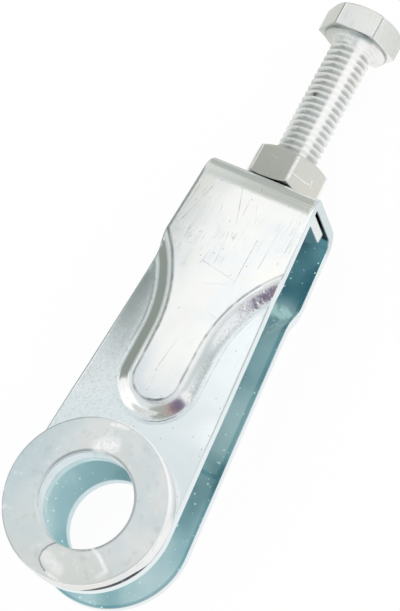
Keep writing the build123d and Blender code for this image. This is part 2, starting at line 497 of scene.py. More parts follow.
    def axle_end(self, shell: Shell, side: Side, outer: np.ndarray, inner: np.ndarray) -> None:
        """Round end of a plate: polar grids between the bore and the edge on both faces, and rims.

        Args:
            shell: surface to add to.
            side: which plate.
            outer: the wings' first row on the outer face, from +Y to -Y.
            inner: the same row on the inner face.
        """
        path, out = self.end_path()
        up = np.array([0.0, 0.0, side.value])
        span = np.linspace(1.0, -1.0, self.cols)
        seam_half = self.half_width(np.float64(self.seam_x))
        seam = np.stack([np.full(self.cols, self.seam_x), seam_half * span], axis=-1)
        plan = np.concatenate([seam, path[1:-1]])
        ray = plan / np.linalg.norm(plan, axis=1, keepdims=True)
        hole_r = self.bore_edge
        rims, holes = [], []
        for row, radius, inside in ((outer, self.edge_top, False), (inner, self.edge_foot, True)):
            inset = path - radius * out
            edge = self.face(inset[:, 0], inset[:, 1], side, inside)
            loop = np.concatenate([row, edge[1:-1]])
            circle = ray * (self.bore + hole_r)
            hole = self.face(circle[:, 0], circle[:, 1], side, inside)
            grid = spread(hole, loop, self.end_rings)
            lip = np.linspace(0.0, 1.0, len(grid))[:, None] > LIP_FROM
            shell.add(grid, wrap_cols=True, inside=float(inside), lip=lip & inside)
            rims.append(edge)
            holes.append(hole)
        flat = np.concatenate([out, np.zeros((len(out), 1))], axis=1)
        rise = np.tile(up, (len(path), 1))
        shell.add(rim_band(rims[0], rims[1], flat, rise, self.edge_top, self.edge_foot), rim=RIM_SHARE)
        inward = -np.concatenate([ray, np.zeros((len(ray), 1))], axis=1)
        band = rim_band(holes[0], holes[1], inward, np.tile(up, (len(ray), 1)), hole_r, hole_r)
        tag = "inside" if side is Side.FRONT else "bore"
        shell.add(np.concatenate([band, band[:1]]), **{tag: RIM_SHARE})

    def web(self, shell: Shell, front: tuple[np.ndarray, np.ndarray],
            back: tuple[np.ndarray, np.ndarray]) -> None:
        """Web of the fold: polar grids round the bolt hole on both faces, the hole and two rims.

        Args:
            shell: surface to add to.
            front: last outer and inner rows of the front plate's bend, from +Y to -Y.
            back: the same rows of the back plate's bend.
        """
        drop = np.linspace(self.web_reach(Side.FRONT), -self.web_reach(Side.BACK), self.web_rows)
        hole_r = self.hole_edge
        holes, rims = [], []
        faces = ((self.web_x, self.edge_top), (self.web_x - self.gauge, self.edge_foot))
        for k, (x, edge) in enumerate(faces):
            half = self.web_half - edge
            ones = np.ones_like(drop)
            minus = np.stack([x * ones, -half * ones, self.mid_z + drop], axis=-1)
            plus = np.stack([x * ones, half * ones, self.mid_z + drop], axis=-1)
            rims.append((plus, minus))
            loop = np.concatenate([front[k], minus[1:-1], back[k][::-1], plus[::-1][1:-1]])
            ray = loop - np.array([x, 0.0, self.mid_z])
            if k == 0:
                spokes = ray / np.linalg.norm(ray, axis=1, keepdims=True)
            hole = np.array([x, 0.0, self.mid_z]) + spokes * (self.bolt_hole + hole_r)
            shell.add(spread(hole, loop, self.web_rings), wrap_cols=True, inside=float(k))
            holes.append(hole)
        out_x = np.tile([[1.0, 0.0, 0.0]], (len(drop), 1))
        for k, way in enumerate((1.0, -1.0)):
            side = np.tile([[0.0, way, 0.0]], (len(drop), 1))
            band = rim_band(rims[0][k], rims[1][k], side, out_x, self.edge_top, self.edge_foot)
            shell.add(band, rim=RIM_SHARE)
        out_x = np.tile([[1.0, 0.0, 0.0]], (len(spokes), 1))
        band = rim_band(holes[0], holes[1], -spokes, out_x, hole_r, hole_r)
        shell.add(np.concatenate([band, band[:1]]))

    def build(self) -> bpy.types.Object:
        """Gather both plates, both bends, the axle ends and the web into one closed sheet.

        Returns:
            The strap's object.
        """
        shell = Shell()
        last = {}
        for side in Side:
            outer, inner, out, up = self.plate_rows(side)
            shell.add(outer)
            shell.add(inner, inside=1.0, lip=np.abs(np.linspace(-1.0, 1.0, self.cols)) > LIP_FROM)
            for col, way in ((-1, out * [1.0, -1.0, 1.0]), (0, out)):
                band = rim_band(outer[:, col], inner[:, col], way, up, self.edge_top, self.edge_foot)
                shell.add(band, rim=RIM_SHARE)
            self.axle_end(shell, side, outer[0], inner[0])
            last[side] = (outer[-1], inner[-1])
        self.web(shell, last[Side.FRONT], last[Side.BACK])
        return shell.build("strap_sheet")


@dataclass
class AxleRing:
    """The thick ring on the front plate's axle end."""

    bore: float = 8.2
    radius: float = 14.2
    thick: float = 4.0
    edge: float = 0.32              # rounding of the upper corners
    foot_edge: float = 0.12         # rounding of the lower ones
    edge_steps: int = 4
    skin: float = 0.1               # depth that the finish takes as bore or wall
    turns: int = 200

    def build(self) -> bpy.types.Object:
        """Turn a rounded rectangle about the axle.

        Returns:
            The ring's object.
        """
        corners = np.array([[self.bore, 0.0], [self.radius, 0.0], [self.radius, -self.thick],
                            [self.bore, -self.thick]])[:, None]
        rim = soften(corners, [self.edge] * 2 + [self.foot_edge] * 2, self.edge_steps)[:, 0]
        turn = np.linspace(0.0, TURN, self.turns, endpoint=False)[:, None]
        radius, height = rim[None, :, 0], rim[None, :, 1]
        grid = np.stack([radius * np.cos(turn), radius * np.sin(turn), height + 0.0 * turn], axis=-1)
        bore = (radius < self.bore + self.skin) & (height < -self.skin)
        edge = (radius > self.radius - self.edge) & (height > -self.edge)
        wall = radius > self.radius - self.skin
        shell = Shell()
        shell.add(grid, wrap_cols=True, wrap_rows=True, bore=bore, edge=edge, wall=wall)
        return shell.build("axle_ring_washer")


@dataclass
class NutPlate:
    """The threaded plate caught inside the fold."""

    face_x: float = 61.7
    thick: float = 2.0
    half_wide: float = 10.3
    front: float = 7.6              # above the bolt's plane
    back: float = 5.6               # below it
    cut: float = 3.0                # slanted corners towards the back bend
    mid_z: float = MID_Z
    hole: float = 4.0
    edge: float = 0.35              # rounding of the outline
    hole_edge: float = 0.1          # rounding of the hole
    side_points: int = 18
    rings: int = 6                  # rings of cells from the hole to the outline

    def outline(self) -> tuple[np.ndarray, np.ndarray]:
        """Plan of the plate, set in by its edge rounding: a rectangle with two slanted corners.

        Returns:
            (n, 2) points along the sides and (n, 2) outward unit vectors, halved at the corners.
        """
        a, high, low = self.half_wide - self.edge, self.front - self.edge, self.edge - self.back
        corners = np.array([[a, high], [-a, high], [-a, low + self.cut], [self.cut - a, low],
                            [a - self.cut, low], [a, low + self.cut]])
        points, normals = [], []
        for start, end in zip(corners, np.roll(corners, -1, axis=0)):
            share = np.linspace(0.0, 1.0, self.side_points + 1)[:-1, None]
            points.append(start * (1.0 - share) + end * share)
            step = (end - start) / np.linalg.norm(end - start)
            normals.append(np.tile([step[1], -step[0]], (len(share), 1)))
        first = np.array([side[0] for side in normals])
        for side, here, before in zip(normals, first, np.roll(first, 1, axis=0)):
            side[0] = (here + before) / np.linalg.norm(here + before)
        return np.concatenate(points), np.concatenate(normals)

    def build(self) -> bpy.types.Object:
        """Polar grids round the hole on both faces, closed by rounded rims.

        Returns:
            The plate's object.
        """
        loop, out = self.outline()
        ray = loop / np.linalg.norm(loop, axis=1, keepdims=True)
        shell, edges, holes = Shell(), [], []
        axis = [0.0, 0.0, self.mid_z]
        for x in (self.face_x, self.face_x - self.thick):
            level = np.full((len(loop), 1), x)
            edge = np.concatenate([level, loop], axis=1) + axis
            hole = np.concatenate([level, ray * (self.hole + self.hole_edge)], axis=1) + axis
            shell.add(spread(hole, edge, self.rings), wrap_cols=True)
            edges.append(edge)
            holes.append(hole)
        up = np.tile([[1.0, 0.0, 0.0]], (len(loop), 1))
        zero = np.zeros((len(loop), 1))
        for pair, way, radius in ((edges, out, self.edge), (holes, -ray, self.hole_edge)):
            band = rim_band(pair[0], pair[1], np.concatenate([zero, way], axis=1), up, radius, radius)
            shell.add(np.concatenate([band, band[:1]]))
        return shell.build("captive_nut_plate")


@dataclass
class Hexagon:
    """Plan of a hexagon with eased corners, and its place on the bolt."""

    flats: float = 13.0
    turn: float = 0.0               # first corner from +Z towards +Y, degrees
    mid_z: float = MID_Z
    ease: float = 0.17              # setback of the eased corners
    steps: int = 3                  # pieces in each rounding
    half_flat: tuple[float, ...] = (0.015, 0.04, 0.07, 0.17, 0.28, 0.39)    # points, shares of a flat
    strip: float = 0.02             # strip beside a corner, bright with wear and a painted highlight, share of a flat
    chamfer_share: float = 0.475    # chamfer circle's radius over the width across flats
    chamfer_slope: float = 30.0     # degrees
    skin: float = 0.05              # depth that the finish takes as the hexagon's wall

    @property
    def chamfer_r(self) -> float:
        """Radius of the circle that the corners are turned down to."""
        return self.chamfer_share * self.flats

    def plan(self) -> tuple[np.ndarray, np.ndarray, np.ndarray, np.ndarray]:
        """Outline: six curves round the corners with straight points between them.

        Returns:
            For each point its radius, its angle from the first corner, 1 on a corner's curve and 1 on
            the strips beside it.
        """
        angle = np.arange(6) * TURN / 6
        corners = self.flats / math.sqrt(3.0) * np.stack([np.cos(angle), np.sin(angle)], axis=-1)
        curve = soften(corners[:, None], [self.ease] * 6, self.steps).reshape(6, -1, 2)
        half = np.array(self.half_flat)
        share = np.concatenate([half, [0.5], 1.0 - half[::-1]])
        flat = curve[:, -1:] * (1.0 - share[:, None]) + np.roll(curve[:, :1], -1, axis=0) * share[:, None]
        x, y = np.concatenate([curve, flat], axis=1).reshape(-1, 2).T
        round_points = np.ones(curve.shape[1])
        beside = (share < self.strip) | (share > 1.0 - self.strip)
        corner = np.tile(np.concatenate([round_points, 0.0 * share]), 6)
        strip = np.tile(np.concatenate([0.0 * round_points, beside]), 6)
        return np.hypot(x, y), np.unwrap(np.arctan2(y, x)), corner, strip

    def drop(self, radius: np.ndarray) -> np.ndarray:
        """How far the chamfer has come down at a radius."""
        return np.maximum(radius - self.chamfer_r, 0.0) * math.tan(math.radians(self.chamfer_slope))

    def stand(self, radius: np.ndarray, along: np.ndarray, angle: np.ndarray) -> np.ndarray:
        """Points at a radius and place along the bolt, at angles from the first corner.

        Args:
            radius: distances from the bolt's axis.
            along: X positions.
            angle: angles from the first corner, in radians.

        Returns:
            Points with one more axis of length 3.
        """
        turned = angle + math.radians(self.turn)
        across, up = radius * np.sin(turned), radius * np.cos(turned)
        return np.stack([along + 0.0 * radius, across, self.mid_z + up], axis=-1)

    def carry(self, shell: Shell, foot_x: float, profile: list[tuple[np.ndarray | float, np.ndarray | float]],
              edges: tuple[float, ...], closed: bool = True) -> None:
        """Carry a profile with rounded corners round the hexagon.

        Args:
            shell: surface to add to.
            foot_x: X where the profile's heights start.
            profile: radius and height of each corner, one number or one for each point of the plan.
            edges: setback of each corner.
            closed: whether the profile's last corner joins its first.
        """
        reach, angle, corner, strip = self.plan()
        corners = [np.stack(np.broadcast_arrays(*pair, reach)[:2], axis=-1) for pair in profile]
        rim = soften(np.stack(corners), list(edges), self.steps, closed)
        wall = rim[..., 0] > reach - self.skin
        grid = self.stand(rim[..., 0], foot_x + rim[..., 1], angle[None])
        shell.add(grid, wrap_cols=True, wrap_rows=closed, corner=corner * wall, strip=strip * wall)


@dataclass
class LockNut:
    """The hexagon nut on the web, chamfered on both sides."""

    face_x: float = 64.4
    height: float = 6.5
    bore: float = 4.0
    lead: float = 0.4               # countersink
    edges: tuple[float, ...] = (0.1, 0.12, 0.16, 0.16, 0.12, 0.1, 0.1, 0.1)     # profile's roundings
    hexagon: Hexagon = field(default_factory=lambda: Hexagon(turn=-23.0))

    def build(self) -> bpy.types.Object:
        """Carry a closed profile round the hexagon: faces, chamfers, walls, countersinks and bore.

        Returns:
            The nut's object.
        """
        reach = self.hexagon.plan()[0]
        drop = self.hexagon.drop(reach)
        chamfer, mouth, high = self.hexagon.chamfer_r, self.bore + self.lead, self.height
        profile = [
            (mouth, high), (chamfer, high), (reach, high - drop), (reach, drop),
            (chamfer, 0.0), (mouth, 0.0), (self.bore, self.lead), (self.bore, high - self.lead)]
        shell = Shell()
        self.hexagon.carry(shell, self.face_x, profile, self.edges)
        return shell.build("hex_lock_nut")


@dataclass
class AdjusterBolt:
    """The hexagon bolt, threaded up to a short run-out under its head."""

    head_x: float = 95.6
    length: float = 40.0
    crest: float = 3.95
    pitch: float = 1.25
    depth: float = 0.74
    half_thread: tuple[float, ...] = (0.0, 0.065, 0.095, 0.36, 0.42, 0.5)   # crest to root, shares of a pitch
    half_cut: tuple[float, ...] = (0.0, 0.0, 0.05, 0.95, 0.995, 1.0)        # cut there, shares of the depth
    flank: float = 0.227            # one more row of points, half way down the flank
    plain: float = 0.7              # length under the head that has no thread
    fade: float = 1.3               # length over which the thread runs out before it
    tip: float = 0.6                # chamfer at the end
    end_rings: int = 3              # rings of cells on the end
    neck_r: float = 0.45            # fillet under the head
    head_h: float = 5.3
    washer_r: float = 6.045
    washer_h: float = 0.39
    edges: tuple[float, ...] = (0.0, 0.12, 0.1, 0.14, 0.16, 0.14, 0.0)      # roundings of the head's profile
    hexagon: Hexagon = field(default_factory=lambda: Hexagon(turn=24.5))

    def thread(self, along: np.ndarray, angle: np.ndarray) -> np.ndarray:
        """Radius of the thread: flat crest, straight flanks and rounded root, repeated each pitch.

        The phase is place / pitch + angle / turn, so the thread is right handed. The depth fades
        in the run-out under the head, a cone cuts the tip and a fillet joins the head.

        Args:
            along: X positions.
            angle: angles from the hexagon's first corner.

        Returns:
            Radii.
        """
        phase = along / self.pitch + angle / TURN
        wave = np.abs(phase - np.round(phase))
        cut = np.interp(wave, self.half_thread, self.half_cut)
        to_head = self.head_x - along
        radius = self.crest - self.depth * cut * np.clip((to_head - self.plain) / self.fade, 0.0, 1.0)
        cone = self.crest - self.tip + (along - self.head_x + self.length)
        near = np.clip(self.neck_r - to_head, 0.0, self.neck_r)
        fillet = self.crest + self.neck_r - np.sqrt(np.maximum(self.neck_r ** 2 - near ** 2, 0.0))
        return np.maximum(np.minimum(radius, cone), np.where(near > 0.0, fillet, 0.0))

    def build(self) -> bpy.types.Object:
        """Join the threaded shank, its end and the head into one closed surface.

        The shank's rows follow the helix, x = pitch * (v - angle / turn), held between the tip and
        the head, and the head is a profile carried round the hexagon.

        Returns:
            The bolt's object.
        """
        reach, angle, _, _ = self.hexagon.plan()
        seam = np.append(angle, angle[0] + TURN)[None]
        tip_x = self.head_x - self.length
        half = np.sort([*self.half_thread, self.flank])
        marks = np.concatenate([half, 1.0 - half[-2:0:-1]])
        first, last = math.floor(tip_x / self.pitch) - 1, math.ceil(self.head_x / self.pitch) + 2
        v = (np.arange(first, last)[:, None] + marks[None]).reshape(-1, 1)
        along = np.clip(self.pitch * (v - seam / TURN), tip_x, self.head_x)
        radius = self.thread(along, seam)
        root = np.clip((self.crest - radius) / self.depth, 0.0, 1.0)
        shell = Shell()
        shell.add(self.hexagon.stand(radius, along, seam), shank=1.0, root=root)
        end_x = np.full_like(angle, tip_x)
        end = self.hexagon.stand(self.thread(end_x, angle), end_x, angle)
        middle = np.tile([[tip_x, 0.0, self.hexagon.mid_z]], (len(angle), 1))
        shell.add(spread(middle, end, self.end_rings), wrap_cols=True)
        chamfer, top = self.hexagon.chamfer_r, self.head_h
        profile = [
            (self.crest + self.neck_r, 0.0), (self.washer_r, 0.0), (self.washer_r, self.washer_h),
            (reach, self.washer_h), (reach, top - self.hexagon.drop(reach)), (chamfer, top), (0.0, top)]
        self.hexagon.carry(shell, self.head_x, profile, self.edges, closed=False)
        return shell.build("threaded_bolt")


class Signal:
    """A number socket that adds Math nodes when it is used in an expression."""

    def __init__(self, sheet: "NodeSheet", socket: bpy.types.NodeSocket) -> None:
        """Wrap a socket of a node sheet."""
        self.sheet = sheet
        self.socket = socket

    def __add__(self, other: "Signal | float") -> "Signal":
        """Sum."""
        return self.sheet.math("ADD", self, other)

    def __radd__(self, other: float) -> "Signal":
        """Sum, number first."""
        return self.sheet.math("ADD", other, self)

    def __sub__(self, other: "Signal | float") -> "Signal":
        """Difference."""
        return self.sheet.math("SUBTRACT", self, other)

    def __rsub__(self, other: float) -> "Signal":
        """Difference, number first."""
        return self.sheet.math("SUBTRACT", other, self)

    def __mul__(self, other: "Signal | float") -> "Signal":
        """Product."""
        return self.sheet.math("MULTIPLY", self, other)

    def __rmul__(self, other: float) -> "Signal":
        """Product, number first."""
        return self.sheet.math("MULTIPLY", other, self)

    def __truediv__(self, other: "Signal | float") -> "Signal":
        """Quotient."""
        return self.sheet.math("DIVIDE", self, other)

    def __rtruediv__(self, other: float) -> "Signal":
        """Quotient, number first."""
        return self.sheet.math("DIVIDE", other, self)

    def __pow__(self, power: float) -> "Signal":
        """Power."""
        return self.sheet.math("POWER", self, power)

    def __abs__(self) -> "Signal":
        """Size without sign."""
        return self.sheet.math("ABSOLUTE", self)

    def least(self, other: "Signal | float") -> "Signal":
        """The smaller of two."""
        return self.sheet.math("MINIMUM", self, other)

    def most(self, other: "Signal | float") -> "Signal":
        """The larger of two."""
        return self.sheet.math("MAXIMUM", self, other)

    def between(self, low: float, high: float) -> "Signal":
        """Smooth step from 0 at low to 1 at high.

        Args:
            low: value that gives 0.
            high: value that gives 1.

        Returns:
            The share.
        """
        settings = {"interpolation_type": "SMOOTHSTEP"}
        sockets = {"Value": self, "From Min": low, "From Max": high}
        return Signal(self.sheet, self.sheet.node("ShaderNodeMapRange", settings, sockets).outputs[0])

    def outside(self, low: float, high: float) -> "Signal":
        """Smooth step from 1 at low to 0 at high."""
        return 1.0 - self.between(low, high)

    def band(self, start: float, low: float, high: float, end: float) -> "Signal":
        """1 from low to high, going smoothly to 0 at start and end."""
        return self.between(start, low) * self.outside(high, end)

    def near(self, value: float, core: float, fade: float) -> "Signal":
        """1 within core of a value, going smoothly to 0 at fade."""
        return abs(self - value).outside(core, fade)

    def hypot(self, other: "Signal") -> "Signal":
        """Length of the slanted side over two legs."""
        return self.sheet.math("SQRT", self ** 2.0 + other ** 2.0)


class NodeSheet:
    """A node tree that is written as expressions."""

    def __init__(self, tree: bpy.types.NodeTree) -> None:
        """Start from an empty tree."""
        self.tree = tree
        tree.nodes.clear()

    def node(self, kind: str, settings: dict[str, Any] | None = None,
             sockets: dict[str | int, Any] | None = None) -> bpy.types.Node:
        """Add a node, set it, then fill or link its sockets.

        Args:
            kind: the node's type.
            settings: attributes that are set first.
            sockets: values, signals or output sockets for its inputs, by name or number.

        Returns:
            The node.
        """
        made = self.tree.nodes.new(kind)
        for name, value in (settings or {}).items():
            setattr(made, name, value)
        for name, value in (sockets or {}).items():
            if isinstance(value, Signal):
                value = value.socket
            if isinstance(value, bpy.types.NodeSocket):
                self.tree.links.new(value, made.inputs[name])
            else:
                made.inputs[name].default_value = value
        return made

    def math(self, operation: str, *values: Signal | float) -> Signal:
        """One Math node on its values."""
        made = self.node("ShaderNodeMath", {"operation": operation}, dict(enumerate(values)))
        return Signal(self, made.outputs[0])

    def blend(self, share: Signal, low: Tint, high: Tint) -> bpy.types.NodeSocket:
        """Colour that goes from low to high as the share goes from 0 to 1.

        Args:
            share: the mask.
            low: colour where it is 0.
            high: colour where it is 1.

        Returns:
            The colour's socket.
        """
        ends = [value if isinstance(value, bpy.types.NodeSocket) else (*value, 1.0) for value in (low, high)]
        sockets = {0: share, 6: ends[0], 7: ends[1]}    # the Mix node's factor and its two colours
        return self.node("ShaderNodeMix", {"data_type": "RGBA", "clamp_factor": True}, sockets).outputs[2]

    def layers(self, color: Tint, *coats: tuple[Signal, Color]) -> bpy.types.NodeSocket:
        """Colour with coats laid over it in order, each a mask and a tint."""
        return reduce(lambda under, coat: self.blend(coat[0], under, coat[1]), coats, color)

    def mark(self, name: str) -> Signal:
        """A tag that the piece's own mesh carries."""
        return Signal(self, self.node("ShaderNodeAttribute", {"attribute_name": name}).outputs["Fac"])

    def vectors(self, operation: str, *values: Any) -> bpy.types.Node:
        """One Vector Math node on its values."""
        sockets = {k: value for k, value in enumerate(values) if value is not None}
        return self.node("ShaderNodeVectorMath", {"operation": operation}, sockets)


@dataclass(frozen=True)
class Stroke:
    """A scratch, nick or rubbed line between two points of the part's frame, in millimetres."""

    start: Triple
    end: Triple
    width: float                    # half width
    weight: float = 1.0


def trail(points: tuple[tuple[float, float], ...], width: float, weight: float = 1.0) -> tuple[Stroke, ...]:
    """Strokes that follow one another through plan points, on the ring's face at Z = 0.

    Args:
        points: plan points in millimetres.
        width: half width.
        weight: strength.

    Returns:
        One stroke for each step.
    """
    return tuple(Stroke((*a, 0.0), (*b, 0.0), width, weight) for a, b in zip(points, points[1:]))


class Place:
    """Position on a piece, in millimetres of the part's frame."""

    def __init__(self, sheet: NodeSheet) -> None:
        """Read the object's coordinates and turn metres into millimetres.

        Args:
            sheet: the material's nodes.
        """
        self.sheet = sheet
        raw = sheet.node("ShaderNodeTexCoord").outputs["Object"]
        self.vector = sheet.vectors("SCALE", raw, None, None, 1.0 / MM).outputs[0]
        parts = sheet.node("ShaderNodeSeparateXYZ", {}, {0: self.vector}).outputs
        self.x, self.y, self.z = (Signal(sheet, part) for part in parts)

    def from_bolt(self) -> Signal:
        """Distance from the bolt's axis."""
        return self.y.hypot(self.z - MID_Z)

    def up_to_face(self, x: float) -> Signal:
        """1 on a face at X and beyond it, 0 from a hair's breadth before it."""
        return self.x.between(x - 0.2, x - 0.05)

    def stretched(self, per_mm: Triple | float, turn: float, shift: Triple) -> bpy.types.NodeSocket:
        """Coordinates turned about Z, then scaled.

        Args:
            per_mm: features for each millimetre, one number or one for each axis.
            turn: angle about Z in degrees.
            shift: offset after scaling.

        Returns:
            The vector's socket.
        """
        turned = self.sheet.node("ShaderNodeVectorRotate", {"rotation_type": "Z_AXIS"},
                                 {"Vector": self.vector, "Angle": math.radians(turn)}).outputs[0]
        scale = (per_mm,) * 3 if isinstance(per_mm, float) else per_mm
        return self.sheet.vectors("MULTIPLY_ADD", turned, scale, shift).outputs[0]

    def noise(self, per_mm: Triple | float, detail: float = 3.0, turn: float = 0.0,
              shift: Triple = (0.0, 0.0, 0.0)) -> Signal:
        """Noise over the piece, about one feature for each unit of the stretched coordinates."""
        sockets = {"Vector": self.stretched(per_mm, turn, shift), "Scale": 1.0, "Detail": detail}
        return Signal(self.sheet, self.sheet.node("ShaderNodeTexNoise", {}, sockets).outputs[0])

    def dots(self, per_mm: Triple | float, kept: float, size: float,
             shift: Triple = (0.0, 0.0, 0.0)) -> Signal:
        """Specks at the centres of random cells in plan.

        Args:
            per_mm: cells for each millimetre, one number or one for each axis.
            kept: share of the cells that hold a speck.
            size: the speck's radius in cells.
            shift: offset of the cells.

        Returns:
            The mask.
        """
        sockets = {"Vector": self.stretched(per_mm, 0.0, shift), "Scale": 1.0}
        cells = self.sheet.node("ShaderNodeTexVoronoi", {"voronoi_dimensions": "2D"}, sockets).outputs
        chance = self.sheet.node("ShaderNodeSeparateXYZ", {}, {0: cells["Color"]}).outputs[0]
        speck = Signal(self.sheet, cells["Distance"]).outside(size * 0.5, size)
        return speck * Signal(self.sheet, chance).outside(kept - 0.01, kept)

    def stroke(self, line: Stroke) -> Signal:
        """Mask of a stroke: its weight on the line and 0 beyond its half width.

        The distance is taken to the nearest point of the line between the ends.

        Args:
            line: the stroke.

        Returns:
            The mask.
        """
        step = Vector(line.end) - Vector(line.start)
        way = tuple(step.normalized())
        away = self.sheet.vectors("SUBTRACT", self.vector, line.start).outputs[0]
        along = Signal(self.sheet, self.sheet.vectors("DOT_PRODUCT", away, way).outputs["Value"])
        along = along.most(0.0).least(step.length)
        foot = self.sheet.vectors("SCALE", way, None, None, along).outputs[0]
        gap = Signal(self.sheet, self.sheet.vectors("DISTANCE", away, foot).outputs["Value"])
        return gap.outside(line.width * STROKE_CORE, line.width) * line.weight

    def strokes(self, lines: tuple[Stroke, ...]) -> Signal:
        """The strongest of several strokes at each point."""
        return reduce(Signal.most, (self.stroke(line) for line in lines))


def blank(name: str) -> tuple[bpy.types.Material, NodeSheet]:
    """Start a material.

    Args:
        name: its name.

    Returns:
        The material and its empty sheet of nodes.
    """
    made = bpy.data.materials.new(name)
    made.use_nodes = True
    return made, NodeSheet(made.node_tree)


@dataclass(frozen=True)
class Wear:
    """Masks that a finish adds to its film: dull and bright spots of wear, painted shade and painted
    highlights, bump height, dust and matt film.
    """

    dull: Signal
    worn_and_highlit: Signal
    height: Signal
    dust: Signal | None = None
    matt: Signal | None = None


@dataclass(frozen=True)
class Zinc:
    """Bright zinc plate under a thin, uneven passivate film."""

    name: str
    slot: str
    bright: Color = (0.86, 0.875, 0.87)
    cool: Color = (0.78, 0.835, 0.855)
    warm: Color = (0.85, 0.84, 0.80)
    # the dull and bright colours below carry real wear and also painted shade and highlights
    dull: Color = (0.58, 0.61, 0.61)
    worn_and_highlit: Color = (0.93, 0.935, 0.93)
    rough: float = 0.2
    rough_spread: float = 0.1       # clouds move the roughness by this much
    wear_rough: float = 0.1         # added where the metal is dull or rubbed
    matt_rough: float = 0.4         # added under a matt film
    cloud_mm: float = 13.0
    relief: float = 0.012           # bump height, mm

    def film(self, sheet: NodeSheet, place: Place, cloud: Signal) -> bpy.types.NodeSocket:
        """Colour of the film: bright metal with cool clouds and smaller warm patches.

        Args:
            sheet: the material's nodes.
            place: position on the piece.
            cloud: slow noise that also moves the roughness.

        Returns:
            The colour.
        """
        patch = place.noise(0.19, shift=(5.0, 2.0, 9.0)).between(0.5, 0.72)
        return sheet.layers(self.bright, (cloud.between(0.42, 0.64), self.cool), (patch * 0.6, self.warm))

    def wear(self, sheet: NodeSheet, place: Place) -> Wear:
        """Fine grain with small dull and bright flecks.

        Args:
            sheet: the material's nodes; not used here.
            place: position on the piece.

        Returns:
            The masks.
        """
        grain = place.noise(2.6)
        fleck = place.noise(0.9, shift=(3.0, 8.0, 1.0))
        return Wear(fleck.between(0.6, 0.74) * 0.3, fleck.outside(0.28, 0.4) * 0.4, grain + fleck)

    def material(self) -> bpy.types.Material:
        """Film, then dull and bright wear with painted shade and highlights among it, with dust as matt
        specks over the metal.

        Returns:
            The material.
        """
        made, sheet = blank(self.name)
        place = Place(sheet)
        cloud = place.noise(1.0 / self.cloud_mm)
        wear = self.wear(sheet, place)
        color = sheet.layers(self.film(sheet, place, cloud), (wear.dull, self.dull), (wear.worn_and_highlit, self.worn_and_highlit))
        rough = self.rough + (cloud - 0.5) * self.rough_spread
        rough = rough + wear.worn_and_highlit * self.wear_rough + wear.dull * self.wear_rough
        relief = {"Strength": 1.0, "Distance": self.relief * MM, "Height": wear.height}
        bump = sheet.node("ShaderNodeBump", {}, relief)
        sockets = {"Base Color": color, "Metallic": 1.0, "Roughness": rough, "Normal": bump.outputs[0]}
        if wear.dust is not None:
            sockets["Base Color"] = sheet.blend(wear.dust, color, DUST)
        if wear.matt is not None:
            sockets["Roughness"] = rough + wear.matt * self.matt_rough
        bare = [1.0 - mask for mask in (wear.dust, wear.matt) if mask is not None]
        if bare:
            sockets["Metallic"] = reduce(Signal.least, bare)
        shader = sheet.node("ShaderNodeBsdfPrincipled", {}, sockets)
        sheet.node("ShaderNodeOutputMaterial", {}, {"Surface": shader.outputs[0]})
        return made

    def dress(self, piece: bpy.types.Object, body: Body, node: str) -> None:
        """Put the finish on a piece, which stands for a CAD node and moves with a body.

        Args:
            piece: the finished mesh.
            body: the body that carries it.
            node: the CAD node that it stands for.
        """
        piece.data.materials.clear()
        piece.data.materials.append(self.material())
        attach(piece, body.value)
        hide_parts(node)
        LOG.info("%s: %d faces on %s", piece.name, len(piece.data.polygons), body.value)


